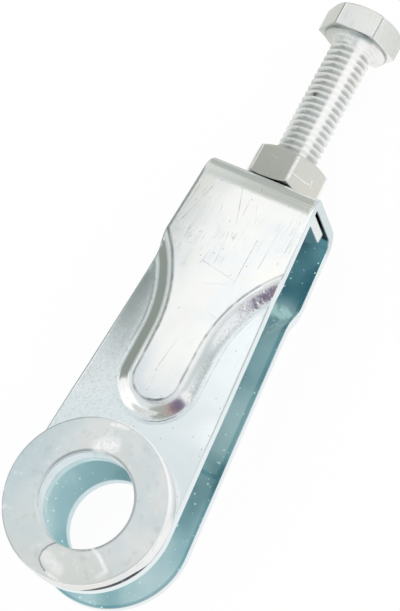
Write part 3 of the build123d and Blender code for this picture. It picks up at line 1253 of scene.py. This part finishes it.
@dataclass(frozen=True)
class SheetZinc(Zinc):
    """Finish of the folded strap: handled outside, teal and dusty inside, pale on its cut edges."""

    rough: float = 0.17
    bright: Color = (0.94, 0.945, 0.925)
    cool: Color = (0.90, 0.925, 0.93)
    warm: Color = (0.93, 0.92, 0.88)
    dull: Color = (0.44, 0.46, 0.47)
    inner: Color = (0.60, 0.775, 0.79)
    # darker teal, in random clouds and as painted shade towards the fold
    deep: Color = (0.40, 0.615, 0.65)
    shade: Color = (0.26, 0.45, 0.47)           # darker stretch beside the axle
    streak: Color = (0.72, 1.0, 0.96)           # painted highlight streaks where the back plate's edge steps in
    fold: Color = (0.12, 0.36, 0.43)            # darkest teal, painted shade deep in the fold
    wing: Color = (0.87, 0.925, 0.945)          # lower level of the front plate
    hollow: Color = (0.74, 0.80, 0.84)          # painted shade along the tongue's left edge
    edge: Color = (0.78, 0.845, 0.86)
    web_end: Color = (0.60, 0.68, 0.70)         # cut edge of the web
    bore: Color = (0.74, 0.86, 0.89)
    scratch_z: float = -2.6         # raised face of the front plate, mm
    low_z: tuple[float, float] = (-3.96, -3.8)  # lower level of the front plate, and clear above it
    web_x: float = 64.1             # outer face of the web
    slit_x: float = 62.1            # its inner face, behind the nut plate
    seat_r: float = 7.2             # painted shade patch under the lock nut
    roll_x: tuple[float, float] = (59.7, 61.6)  # the front bend's soft start, and where it ends
    shade_x: tuple[float, ...] = (7.0, 13.0, 14.0, 26.0)
    deep_x: tuple[float, float] = (26.0, 34.0)  # painted shade, darker from here to the fold
    # painted shade deep in the fold
    fold_x: tuple[float, float] = (47.5, 51.0)
    end_x: tuple[float, float] = (58.0, 62.0)   # where the plates' cut edges go over into the web's
    scuff_x: tuple[float, float] = (39.0, 42.0)     # scuffed end of the right flare
    jog_x: tuple[float, ...] = (46.9, 0.5, 2.2)     # where the edge steps in: place, core and fade
    haze_x: tuple[float, ...] = (-8.0, 2.0, 9.0)    # painted light, paler inside behind the axle: place, core and fade, likewise
    tongue: tuple[float, float] = (23.9, 5.95)  # centre and radius of the tongue's round end
    flare: tuple[float, float] = (31.0, 23.5)   # start and radius of the flare
    top_crease: tuple[float, ...] = (1.85, 0.08, 0.32)  # painted dark line along the step's top: distance from the step's middle, core and fade
    # painted dark line along the step's foot, likewise
    foot_crease: tuple[float, ...] = (-1.8, 0.05, 0.22)
    # painted near-black shade line at the tongue's tip, likewise
    tip_line: tuple[float, ...] = (1.95, 0.1, 0.34)
    # painted highlight line along the right slope, likewise
    shine_line: tuple[float, ...] = (1.0, 0.2, 0.65)
    sandy_band: tuple[float, ...] = (-1.6, -1.0, -0.3, 0.4)
    hollow_band: tuple[float, ...] = (1.8, 2.1, 2.4, 4.6)

    def film(self, sheet: NodeSheet, place: Place, cloud: Signal) -> bpy.types.NodeSocket:
        """The outside's clouds and painted shade lines, the teal film inside with painted shade towards the
        fold, painted light behind the axle and painted highlight streaks, painted black shade in the slits
        and under the nut, and the bare cut edges.

        Args:
            sheet: the material's nodes.
            place: position on the strap.
            cloud: slow noise.

        Returns:
            The colour.
        """
        step, inner, rim = self.step(place), sheet.mark("inside"), sheet.mark("rim")
        # painted shade along the tongue's left edge
        hollow = step.band(*self.hollow_band) * place.x.outside(24.0, 34.0) * place.y.between(-4.0, 1.0)
        # painted near-black shade line at the tongue's tip
        tip = step.near(*self.tip_line) * place.x.outside(20.8, 21.6) * place.y.near(-1.6, 0.8, 2.0)
        outside = sheet.layers(
            Zinc.film(self, sheet, place, cloud),
            (place.z.outside(*self.low_z) * 0.8, self.wing),
            (hollow * 0.7, self.hollow),
            (tip * 0.85, SHADE_AND_GRIME))
        # painted light inside, paler behind the axle
        painted_light = place.x.near(*self.haze_x) * place.y.outside(-11.0, -6.0)
        ragged = place.noise((0.9, 0.35, 0.5), turn=35.0).between(0.36, 0.54)
        # Teal inside, with painted shade beside the axle and towards the fold, painted light behind the axle,
        # painted highlight streaks where the back plate's edge steps in, and a painted shade margin along the
        # inner edges.
        inside = sheet.layers(
            self.inner,
            (cloud.between(0.38, 0.62), self.deep),
            (place.x.band(*self.shade_x) * 0.6, self.shade),
            (place.x.between(*self.deep_x) * 0.6, self.deep),
            (painted_light * 0.3, self.wing),
            (place.x.between(*self.fold_x) * 0.85, self.fold),
            (place.x.near(*self.jog_x) * ragged * 0.95, self.streak),
            (sheet.mark("lip") * 0.55, self.fold))
        # painted black shade under the lock nut and in the slit behind the nut plate
        under_nut = place.from_bolt().outside(self.seat_r - 0.4, self.seat_r)
        seat = place.up_to_face(self.web_x) * under_nut
        slit = place.up_to_face(self.slit_x) * inner
        return sheet.layers(
            sheet.blend(inner, outside, inside),
            (sheet.mark("bore"), self.bore),
            (rim * 0.85, self.edge),
            (rim * place.x.between(*self.end_x) * 0.9, self.web_end),
            (seat.most(slit), SHADE_AND_GRIME))

    def step(self, place: Place) -> Signal:
        """Signed distance to the middle of the pressed step, as the strap's surface takes it.

        Args:
            place: position on the strap.

        Returns:
            Millimetres, positive on the raised side.
        """
        across = abs(place.y)
        nose = self.tongue[1] - (place.x - self.tongue[0]).hypot(across)
        beside = across - self.tongue[1] - self.flare[1]
        flare = (place.x - self.flare[0]).hypot(beside) - self.flare[1]
        neck, wide = (place.x.between(at - 0.05, at + 0.05) for at in (self.tongue[0], self.flare[0]))
        return nose * (1.0 - neck) + (self.tongue[1] - across) * neck * (1.0 - wide) + flare * wide

    def scratches(self) -> tuple[Stroke, ...]:
        """The longer handling scratches across the raised face.

        Returns:
            Their strokes.
        """
        lines = (
            ((51.0, 9.8), (58.4, 7.6), 0.10, 0.7), ((52.4, 10.4), (57.8, 9.8), 0.10, 0.6),
            ((59.8, 2.4), (54.0, 0.5), 0.12, 0.7), ((58.6, 0.3), (55.6, 0.1), 0.10, 0.5),
            ((56.0, 4.4), (54.4, 4.1), 0.14, 0.6), ((52.0, 1.0), (46.0, 0.6), 0.09, 0.5),
            ((52.6, -4.3), (43.6, -4.2), 0.10, 0.8), ((54.8, -7.0), (48.0, -6.8), 0.10, 0.8),
            ((58.4, -9.6), (52.4, -9.7), 0.12, 0.8), ((45.6, 2.8), (44.4, -4.0), 0.12, 0.8),
            ((45.0, 3.0), (47.2, 2.5), 0.09, 0.5), ((42.0, 0.4), (43.4, -3.4), 0.08, 0.4),
            ((37.6, -2.6), (37.2, -4.2), 0.12, 0.5), ((31.5, 0.0), (25.0, 0.9), 0.10, 0.6),
            ((58.2, -1.3), (56.0, -2.2), 0.12, 0.4),
        )
        z = self.scratch_z
        return tuple(Stroke((*a, z), (*b, z), width, weight) for a, b, width, weight in lines)

    def wear(self, sheet: NodeSheet, place: Place) -> Wear:
        """Lengthwise hairlines in patches, long scratches, painted dark lines along the pressed step's
        creases, a painted highlight line on its right slope, dust inside.

        Hairlines are the level lines of noise that is stretched along the scratch.

        Args:
            sheet: the material's nodes.
            place: position on the strap.

        Returns:
            The masks.
        """
        inside, rim, bore = sheet.mark("inside"), sheet.mark("rim"), sheet.mark("bore")
        outside = (1.0 - inside) * (1.0 - rim) * (1.0 - bore)
        step, right = self.step(place), place.y.outside(-3.0, 3.0)
        grain = place.noise(2.4)
        wave = place.noise(0.13, 1.0, shift=(8.0, 8.0, 2.0))
        break_up = place.noise(0.5, 2.0, shift=(1.0, 6.0, 2.0)).between(0.42, 0.6)
        patches = place.noise((0.11, 0.14, 0.14), 2.0, shift=(4.0, 4.0, 4.0)).between(0.44, 0.6)
        hairs = place.noise((0.045, 2.3, 0.9), 1.0, 3.0).near(0.5, 0.0, 0.02) * patches * break_up
        strokes = place.strokes(self.scratches()) * (0.45 + break_up * 0.55)
        lines = (hairs * 0.25).most(strokes * 0.6) * outside
        pits = place.dots((0.8, 0.8, 0.4), 0.06, 0.16, (6.0, 1.0, 3.0)) * outside
        # painted dark lines along the step's top and foot creases
        top_crease = step.near(*self.top_crease) * 0.9
        foot_crease = step.near(*self.foot_crease) * right * 0.3
        crease = top_crease.most(foot_crease) * (0.5 + break_up * 0.5) * outside
        low = place.z.outside(*self.low_z) * grain.between(0.45, 0.7) * (1.0 - right) * 0.2
        sandy = step.band(*self.sandy_band) * right * grain.between(0.42, 0.62) * 0.27
        dull = (lines * 0.5).most(pits * 0.35).most(crease).most(low.most(sandy) * outside)
        # painted highlight line along the right slope
        shine = step.near(*self.shine_line) * right * outside * 0.8
        worn_and_highlit = (grain.between(0.6, 0.75) * rim * 0.5).most(shine)
        roll = (place.x.least(self.roll_x[1]) - self.roll_x[0]).most(0.0) ** 2.0 * outside
        scuffed = place.x.between(*self.scuff_x) * step.near(0.0, 1.2, 1.7) * right
        height = grain * 0.35 + wave * 2.0 - lines * 0.8 - roll * 2.5
        height = height + scuffed * (grain * 1.6 + break_up * 2.4)
        specks = place.dots(0.45, 0.35, 0.1).most(place.dots(0.9, 0.16, 0.12, (2.0, 7.0, 5.0)))
        # the painted highlight streaks inside are matt as well
        matt = inside * (0.25 + wave.between(0.35, 0.65) * 0.4).most(place.x.near(*self.jog_x) * 0.75)
        return Wear(dull, worn_and_highlit, height, specks * inside, matt.most(bore * 0.5))


@dataclass(frozen=True)
class RingZinc(Zinc):
    """Finish of the ring: matt, bluish to the left, beige below, teal in its bore, with dents and rubs."""

    rough: float = 0.4
    bright: Color = (0.90, 0.91, 0.90)
    worn_and_highlit: Color = (0.98, 0.98, 0.97)
    dull: Color = (0.42, 0.45, 0.46)
    left: Color = (0.68, 0.77, 0.80)
    low: Color = (0.80, 0.81, 0.775)
    bore: Color = (0.80, 0.87, 0.90)
    # painted highlight colour of a band on the wall
    wall: Color = (0.97, 0.97, 0.955)
    foot: float = -4.0              # height of the ring's foot on the plate, mm
    bore_r: float = 8.4             # where the bore's eased edge meets the face
    shade_crescent: float = 1.25              # height of the painted shade crescent along the ring's lower side
    shade_crescent_way: tuple[float, float] = (-0.0489, -0.0507)  # towards the painted shade crescent, 1 at the ring's outer edge
    left_way: tuple[float, float] = (-0.085, 0.088)     # left in the picture, 1 at the bore's wall
    right_way: tuple[float, float] = (0.113, -0.044)    # upper right in the picture, 1 at the bore's wall

    @staticmethod
    def toward(place: Place, way: tuple[float, float]) -> Signal:
        """How far a point lies along a direction in plan."""
        return place.x * way[0] + place.y * way[1]

    def film(self, sheet: NodeSheet, place: Place, cloud: Signal) -> bpy.types.NodeSocket:
        """Tints that drift across the face, a paler bluish bore, a painted highlight band on the wall and a
        painted shade crescent along the foot.

        Args:
            sheet: the material's nodes.
            place: position on the ring.
            cloud: slow noise.

        Returns:
            The colour.
        """
        # painted shade: a near-black crescent along the ring's foot, widest on its lower side
        shade_crescent = self.toward(place, self.shade_crescent_way).between(0.9, 0.99)
        seam = (place.z - self.foot - shade_crescent * self.shade_crescent).outside(0.1, 0.25)
        return sheet.layers(
            Zinc.film(self, sheet, place, cloud),
            ((place.y + (cloud - 0.5) * 12.0).between(2.0, 14.0), self.left),
            ((place.x + (cloud - 0.5) * 10.0).outside(-13.0, -3.0) * 0.8, self.low),
            (sheet.mark("bore"), self.bore),
            # painted highlight band on the wall
            (self.gleam(sheet, place), self.wall),
            (seam * (0.25 + shade_crescent.between(0.0, 0.1) * 0.75), SHADE_AND_GRIME))

    def wear(self, sheet: NodeSheet, place: Place) -> Wear:
        """An arc-shaped dent, scuffed streaks, bright nicks and a scuffed patch over tumbled grain, with
        painted glints in the bore, painted shade lines at the bore's edge and painted dark and bright outer
        edges.

        Args:
            sheet: the material's nodes.
            place: position on the ring.

        Returns:
            The masks.
        """
        bore, edge, wall = sheet.mark("bore"), sheet.mark("edge"), sheet.mark("wall")
        grain = place.noise(1.8, 4.0)
        blot = place.noise(0.55, 4.0, shift=(3.0, 8.0, 1.0))
        ragged = (grain - 0.5) * 0.9 + 0.8
        dent = place.strokes(trail(
            ((-8.3, 0.9), (-9.3, 1.8), (-10.5, 2.3), (-11.8, 2.2), (-12.6, 1.3), (-13.3, 0.0)), 0.22))
        rubs = place.strokes((
            *trail(((-6.5, -5.1), (-7.3, -6.9), (-8.8, -9.0)), 0.5, 0.8),
            *trail(((-8.8, -9.0), (-10.1, -8.2)), 0.6, 0.5),
            *trail(((13.1, 2.0), (13.4, 0.8), (13.6, -0.9)), 0.45, 0.9),
            *trail(((8.7, 2.7), (10.1, 2.1), (12.2, 1.5)), 0.4, 0.5),
            *trail(((-13.3, 0.0), (-13.6, -2.4)), 0.35, 0.9),
        )) * ragged
        patch = place.strokes((
            *trail(((9.0, 2.0), (10.0, 0.2)), 2.2, 0.85),
            *trail(((-11.0, 1.2), (-12.0, -1.6)), 1.5, 0.6),
        )) * ragged
        leftward, rightward = self.toward(place, self.left_way), self.toward(place, self.right_way)
        # painted shade line round the bore's edge on the face, except on the left
        rim = place.x.hypot(place.y).near(self.bore_r, 0.12, 0.4) * leftward.outside(0.2, 0.7)
        # painted shade line under the bore's top edge
        lip = bore * place.z.band(-0.85, -0.65, -0.45, -0.3)
        # dull: real dent and blots, a painted dark outer edge on the left, painted shade lines at the bore
        dull = reduce(Signal.most, (
            dent, blot.between(0.55, 0.7) * 0.18, edge * place.y.between(1.0, 8.0) * 0.85,
            rim * (1.0 - bore) * 0.75, lip * 0.7))
        # painted glints on the bore's wall
        glint = leftward.between(0.86, 0.97) * blot.between(0.4, 0.5) * bore
        glint = glint.most(rightward.between(0.88, 0.97) * bore)
        # bright: real rubs and patches, blots, painted glints and a painted bright outer edge
        worn_and_highlit = reduce(Signal.most, (
            rubs, patch, glint * 0.9,
            blot.outside(0.3, 0.42) * 0.45, edge * place.y.outside(-3.0, 6.0) * 0.9))
        rubbed_and_highlit = rubs.most(patch) * grain.between(0.36, 0.58)
        matt = (wall * 0.15).most(self.gleam(sheet, place) * 0.85).most(rubbed_and_highlit * 0.55).most(glint * 0.6)
        height = grain * 0.6 + blot * 1.5 - dent * 2.5 - rubs * 1.2
        return Wear(dull, worn_and_highlit.least(1.0), height, matt=matt.least(1.0))

    def gleam(self, sheet: NodeSheet, place: Place) -> Signal:
        """Painted highlight: a bright band on the wall's upper part, on the side towards the tongue.

        Args:
            sheet: the material's nodes.
            place: position on the ring.

        Returns:
            The mask.
        """
        return sheet.mark("wall") * place.x.between(0.0, 9.0) * place.z.between(-2.4, -1.2)


@dataclass(frozen=True)
class HexZinc(Zinc):
    """Finish of the nut and the bolt: bright with wear and painted highlights along the hexagon's corners,
    painted shade in the thread's roots.
    """

    marks: tuple[Stroke, ...] = ()
    specks: tuple[Stroke, ...] = ()
    # painted shadows under the head, as strokes and their colour
    painted_shadows: tuple[Stroke, ...] = ()
    painted_shadow: Color = (0.20, 0.33, 0.35)
    corner_shade: float = 0.0             # painted dark line along the corners
    foot_x: float = 0.0             # seat painted black as shade, where it lies in a slit
    highlight_sine: float = -0.574             # sine of the angle of the painted highlight stripe round the thread
    streak: float = 0.24            # sine of the angle of its painted dark streak
    washer: tuple[float, float] = (0.0, 0.0)    # face under the head: X and radius, with a painted shade line round its edge

    def film(self, sheet: NodeSheet, place: Place, cloud: Signal) -> bpy.types.NodeSocket:
        """The plain film with painted shadows under the head, painted black shade at the seat, and black
        specks.

        Args:
            sheet: the material's nodes.
            place: position on the piece.
            cloud: slow noise.

        Returns:
            The colour.
        """
        color = Zinc.film(self, sheet, place, cloud)
        # painted shadows under the head
        if self.painted_shadows:
            color = sheet.blend(place.strokes(self.painted_shadows), color, self.painted_shadow)
        # painted black shade along the seat; the specks are dark dirt
        dark = (place.x - self.foot_x).outside(0.12, 0.4)
        if self.specks:
            dark = dark.most(place.strokes(self.specks))
        return sheet.blend(dark, color, SHADE_AND_GRIME)

    def wear(self, sheet: NodeSheet, place: Place) -> Wear:
        """Drawn lines along the bar, corners bright with wear and painted highlights, painted shade in the
        roots and on one streak, painted highlights on the crests and one stripe, a painted shade line under
        the head, and the piece's own scratches.

        Args:
            sheet: the material's nodes.
            place: position on the piece.

        Returns:
            The masks.
        """
        root, shank = sheet.mark("root"), sheet.mark("shank")
        corner, strip = sheet.mark("corner"), sheet.mark("strip")
        grain = place.noise(2.2)
        drawn = place.noise((0.5, 3.0, 3.0), shift=(3.0, 8.0, 1.0))
        reach = place.from_bolt()
        round_bolt = place.y / reach
        # painted highlight: a bright stripe round the thread at a fixed angle
        rubbed_and_highlit = round_bolt.near(self.highlight_sine, 0.1, 0.27) * shank
        # corners and the strips beside them: bright with wear and painted highlights
        worn_and_highlit = strip.most(corner * (1.0 - self.corner_shade)) * (0.5 + grain.between(0.35, 0.6) * 0.5)
        # painted highlights on the thread's crests
        worn_and_highlit = worn_and_highlit.most(root.outside(0.15, 0.5) * shank * grain.between(0.34, 0.5) * 0.9).most(rubbed_and_highlit * 0.9)
        if self.marks:
            worn_and_highlit = worn_and_highlit.most(place.strokes(self.marks) * (0.4 + grain.between(0.35, 0.6) * 0.6))
        # painted dark streak round the thread at a fixed angle
        streak = round_bolt.near(self.streak, 0.05, 0.22) * shank * grain.between(0.3, 0.5)
        # painted shade in the roots, real drawn lines, painted dark corner lines and the painted streak
        dull = reduce(Signal.most, (
            root.between(0.5, 0.95) * 0.42, drawn.between(0.55, 0.75) * 0.2,
            corner * self.corner_shade, streak * 0.45))
        if self.washer[1]:
            # painted shade line round the washer face's edge
            under_head = place.x.outside(self.washer[0] + 0.5, self.washer[0] + 0.7)
            line = reach.near(self.washer[1], 0.05, 0.22) * under_head
            dull = dull.most(line * (1.0 - shank) * 0.6)
        matt = (shank * 0.26 + rubbed_and_highlit * 0.6).most(strip * 0.6)
        return Wear(dull, worn_and_highlit, grain * 0.5 + drawn * 0.8, matt=matt)


@dataclass(frozen=True)
class PlateZinc(Zinc):
    """Finish of the nut plate, with painted black shade on the face in the slit."""

    rough: float = 0.35
    face_x: float = 61.7

    def film(self, sheet: NodeSheet, place: Place, cloud: Signal) -> bpy.types.NodeSocket:
        """The plain film, with painted black shade on the face towards the web.

        Args:
            sheet: the material's nodes.
            place: position on the plate.
            cloud: slow noise.

        Returns:
            The colour.
        """
        color = Zinc.film(self, sheet, place, cloud)
        # painted black shade on the face in the slit
        return sheet.blend(place.up_to_face(self.face_x), color, SHADE_AND_GRIME)


def sheet_grid(wide: float, deep: float, points: int) -> np.ndarray:
    """Square grid of points in the XY plane, about the origin.

    Args:
        wide: size along X.
        deep: size along Y.
        points: points along each side.

    Returns:
        (points, points, 3) points.
    """
    share = np.linspace(-0.5, 0.5, points)
    u, v = np.meshgrid(share * wide, share * deep, indexing="ij")
    return np.stack([u, v, 0 * u], axis=-1)


class Facing(Enum):
    """Which way a card looks, in the part's frame."""

    RIGHT = (0.0, -1.0, 0.0)
    AXLE = (-1.0, 0.0, 0.0)
    UP = (0.0, 0.0, 1.0)
    DOWN = (0.0, 0.0, -1.0)


@dataclass(frozen=True)
class Flag:
    """A card beside the set that the metal reflects; the camera doesn't see it."""

    name: str
    centre: Triple                  # millimetres
    size: tuple[float, float]
    color: Color
    facing: Triple
    points: int = 3

    def build(self) -> bpy.types.Object:
        """A flat grid turned to its facing.

        Returns:
            The card's object.
        """
        turn = Vector(self.facing).to_track_quat("Z", "Y").to_matrix()
        shell = Shell()
        shell.add(sheet_grid(*self.size, self.points) @ np.array(turn).T + np.array(self.centre))
        made = shell.build(self.name)
        paint, sheet = blank(self.name)
        glow = sheet.node("ShaderNodeEmission", {}, {"Color": (*self.color, 1.0), "Strength": 1.0})
        sheet.node("ShaderNodeOutputMaterial", {}, {"Surface": glow.outputs[0]})
        made.data.materials.append(paint)
        for kind in ("camera", "diffuse", "shadow", "transmission", "volume_scatter"):
            setattr(made, f"visible_{kind}", False)
        return made


@dataclass(frozen=True)
class SoftBox:
    """A soft lamp."""

    name: str
    centre: Triple                  # millimetres
    size: tuple[float, float]
    radiance: float
    aim: Triple = (30.0, 0.0, -10.0)

    def build(self) -> bpy.types.Object:
        """An area lamp whose power gives its radiance: radiance times pi times area.

        Returns:
            The lamp's object.
        """
        lamp = bpy.data.lights.new(self.name, "AREA")
        lamp.shape = "RECTANGLE"
        lamp.size, lamp.size_y = self.size[0] * MM, self.size[1] * MM
        lamp.energy = self.radiance * math.pi * lamp.size * lamp.size_y
        made = bpy.data.objects.new(self.name, lamp)
        made.location = Vector(self.centre) * MM
        made.rotation_euler = (Vector(self.aim) - Vector(self.centre)).to_track_quat("-Z", "Y").to_euler()
        made.visible_camera = False
        bpy.context.scene.collection.objects.link(made)
        return made


@dataclass
class Studio:
    """Floor, white surroundings, lamps, cards and camera."""

    floor_z: float = -21.8          # the back plate's raised face lies on it
    floor_white: float = 0.98
    floor_wide: float = 3000.0
    floor_points: int = 9
    floor_glow: float = 0.93        # share of the floor's white that doesn't take the shadow
    camera_at: Triple = (-32.83, -110.09, 292.56)
    camera_aim: Triple = (37.50, -1.73, 0.0)
    camera_up: Triple = (0.860, 0.375, 0.346)
    lens: float = 112.95
    sensor: float = 36.0            # on the picture's long side
    clip: tuple[float, float] = (0.01, 20.0)    # nearest and farthest that the camera sees, metres
    arc_centre: tuple[float, float] = (28.0, -3.0)
    arc_r: float = 100.0
    arc_foot: float = 20.0
    arc_high: float = 290.0
    arc: tuple[tuple[float, float, Color], ...] = (     # start and end in degrees, colour
        (171.0, 205.0, (0.40, 0.42, 0.385)),
        (205.0, 220.0, (0.46, 0.375, 0.36)),
        (220.0, 233.0, (0.27, 0.19, 0.22)),
        (233.0, 254.0, (0.19, 0.155, 0.25)),
        (254.0, 259.0, (0.50, 0.50, 0.54)),
        (259.0, 282.0, (0.93, 0.94, 0.95)),
        (282.0, 310.0, (0.52, 0.58, 0.60)),
    )

    def camera(self) -> None:
        """Camera at the photograph's place, turned so that its up direction is upright in the picture."""
        data = bpy.data.cameras.new("studio_camera")
        data.lens, data.sensor_width, data.sensor_fit = self.lens, self.sensor, "AUTO"
        data.clip_start, data.clip_end = self.clip
        made = bpy.data.objects.new("studio_camera", data)
        back = (Vector(self.camera_at) - Vector(self.camera_aim)).normalized()
        right = Vector(self.camera_up).cross(back).normalized()
        axes = Matrix((right, back.cross(right), back)).transposed()
        made.matrix_world = Matrix.Translation(Vector(self.camera_at) * MM) @ axes.to_4x4()
        bpy.context.scene.collection.objects.link(made)
        bpy.context.scene.camera = made

    @staticmethod
    def seen(sheet: NodeSheet) -> Signal:
        """Rays that look at the background: camera, mirror and glass rays.

        Args:
            sheet: the material's nodes.

        Returns:
            1 for those rays, 0 for the rest.
        """
        path = sheet.node("ShaderNodeLightPath").outputs
        camera, glossy, through = (
            Signal(sheet, path[name]) for name in ("Is Camera Ray", "Is Glossy Ray", "Is Transmission Ray"))
        return camera.most(glossy).most(through)

    def floor(self) -> None:
        """Wide pale floor that looks white and keeps a faint shadow of the part."""
        shell = Shell()
        shell.add(sheet_grid(self.floor_wide, self.floor_wide, self.floor_points) + [0.0, 0.0, self.floor_z])
        made = shell.build("studio_floor")
        paint, sheet = blank("floor_white")
        matt = sheet.node("ShaderNodeBsdfDiffuse", {}, {"Color": (*[self.floor_white] * 3, 1.0)})
        glow = sheet.node("ShaderNodeEmission", {}, {"Color": WHITE, "Strength": 1.0})
        mixed = sheet.node("ShaderNodeMixShader", {}, {
            0: self.seen(sheet) * self.floor_glow, 1: matt.outputs[0], 2: glow.outputs[0]})
        sheet.node("ShaderNodeOutputMaterial", {}, {"Surface": mixed.outputs[0]})
        made.data.materials.append(paint)

    def surroundings(self) -> None:
        """White surroundings."""
        world = bpy.data.worlds.new("studio_world")
        bpy.context.scene.world = world
        world.use_nodes = True
        sheet = NodeSheet(world.node_tree)
        white = sheet.node("ShaderNodeBackground", {}, {"Color": WHITE, "Strength": 1.0})
        sheet.node("ShaderNodeOutputWorld", {}, {"Surface": white.outputs[0]})

    def fan(self) -> tuple[Flag, ...]:
        """Upright cards side by side on an arc in front of the strap.

        Returns:
            The cards.
        """
        made = []
        for k, (start, end, color) in enumerate(self.arc):
            middle, half = math.radians(start + end) / 2, math.radians(end - start) / 2
            way = Vector((math.cos(middle), math.sin(middle), 0.0))
            centre = Vector((*self.arc_centre, self.arc_foot + self.arc_high / 2)) + way * self.arc_r
            size = (2.0 * self.arc_r * math.tan(half), self.arc_high)
            made.append(Flag(f"arc_card_{k}", tuple(centre), size, color, tuple(-way)))
        return tuple(made)

    def build(self) -> None:
        """Set the whole studio up."""
        bpy.context.scene.view_settings.view_transform = "Standard"
        self.surroundings()
        self.floor()
        right, axle, up, down = (facing.value for facing in Facing)
        for card in (
            Flag("left_low_card", (63.0, 90.0, 12.5), (98.0, 67.0), (0.28, 0.31, 0.29), right),
            Flag("left_mid_card", (71.0, 90.0, 65.0), (82.0, 38.0), (0.56, 0.62, 0.60), right),
            Flag("left_high_card", (89.0, 90.0, 136.0), (58.0, 104.0), (0.21, 0.245, 0.23), right),
            Flag("bolt_card", (174.0, 90.0, 90.0), (112.0, 222.0), (0.76, 0.77, 0.73), right),
            Flag("end_card", (220.0, 60.0, 106.0), (60.0, 255.0), CARD_GREY, axle),
            Flag("bend_card", (220.0, 130.0, 315.0), (90.0, 230.0), CARD_GREY, axle),
            Flag("tip_card", (-85.0, 95.0, 68.0), (140.0, 100.0), (1.2, 1.2, 1.18), right),
            Flag("floor_card", (150.0, 35.0, -21.0), (150.0, 70.0), CARD_GREY, up),
            Flag("ceiling_card", (-190.0, 150.0, 450.0), (600.0, 600.0), (0.76, 0.80, 0.81), down),
            Flag("strip_card", (-28.0, 60.0, 400.0), (40.0, 150.0), (0.06, 0.06, 0.07), down),
            Flag("nut_card", (118.0, 88.0, 128.0), (22.0, 50.0), (0.20, 0.205, 0.18), right),
            Flag("head_card", (106.0, 18.0, -20.5), (30.0, 26.0), (0.74, 0.75, 0.70), up),
            Flag("head_side_card", (108.0, -27.0, -20.5), (36.0, 30.0), (0.74, 0.75, 0.73), up),
            *self.fan(),
        ):
            card.build()
        SoftBox("top_box", (168.0, 167.0, 460.0), (220.0, 220.0), 0.1).build()
        SoftBox("side_box", (228.0, -257.0, 260.0), (140.0, 140.0), 1.5).build()
        self.camera()


def main() -> None:
    """Build every piece, dress it and set the studio up."""
    logging.basicConfig(level=logging.INFO, format="%(message)s")
    nut_finish = HexZinc(
        "zinc_nut_finish", "zinc_nut", rough=0.34, foot_x=64.4,
        bright=(0.72, 0.70, 0.635), cool=(0.69, 0.69, 0.65), warm=(0.72, 0.695, 0.615),
        dull=(0.46, 0.45, 0.40),
        marks=(
            Stroke((67.0, -3.3, -5.7), (67.0, -5.0, -8.0), 0.16),
            Stroke((67.0, -5.0, -8.0), (67.2, -5.6, -8.8), 0.2),
            Stroke((68.1, -5.8, -9.1), (67.0, -6.0, -9.3), 0.2),
            Stroke((68.8, 2.0, -5.9), (68.5, 0.6, -5.7), 0.18, 0.5)))
    bolt_finish = HexZinc(
        "zinc_bolt_finish", "zinc_bolt", rough=0.28, corner_shade=0.85, washer=(95.6, 6.05),
        bright=(0.88, 0.885, 0.86), cool=(0.84, 0.86, 0.85), warm=(0.88, 0.87, 0.83),
        dull=(0.31, 0.33, 0.32), worn_and_highlit=(0.97, 0.97, 0.96),
        specks=(Stroke((83.0, 1.5, -9.0), (82.9, 1.4, -8.95), 0.75),),
        painted_shadows=(
            Stroke((95.6, -0.6, -7.4), (95.6, -2.4, -7.4), 1.5, 0.8),
            Stroke((95.6, -2.4, -8.0), (95.6, -3.4, -8.0), 1.1, 0.7)))
    pieces = (
        (Strap(), SheetZinc("zinc_sheet_finish", "zinc_sheet"), Body.FORK, "strap"),
        (AxleRing(), RingZinc("zinc_ring_finish", "zinc_ring"), Body.FORK, "axle_ring"),
        (NutPlate(), PlateZinc("zinc_plate_finish", "zinc_plate"), Body.FORK, "nut_plate"),
        (LockNut(), nut_finish, Body.NUT, "lock_nut"),
        (AdjusterBolt(), bolt_finish, Body.BOLT, "adjuster_bolt"),
    )
    for maker, finish, body, node in pieces:
        finish.dress(maker.build(), body, node)
    Studio().build()


if __name__ == "__main__":
    main()
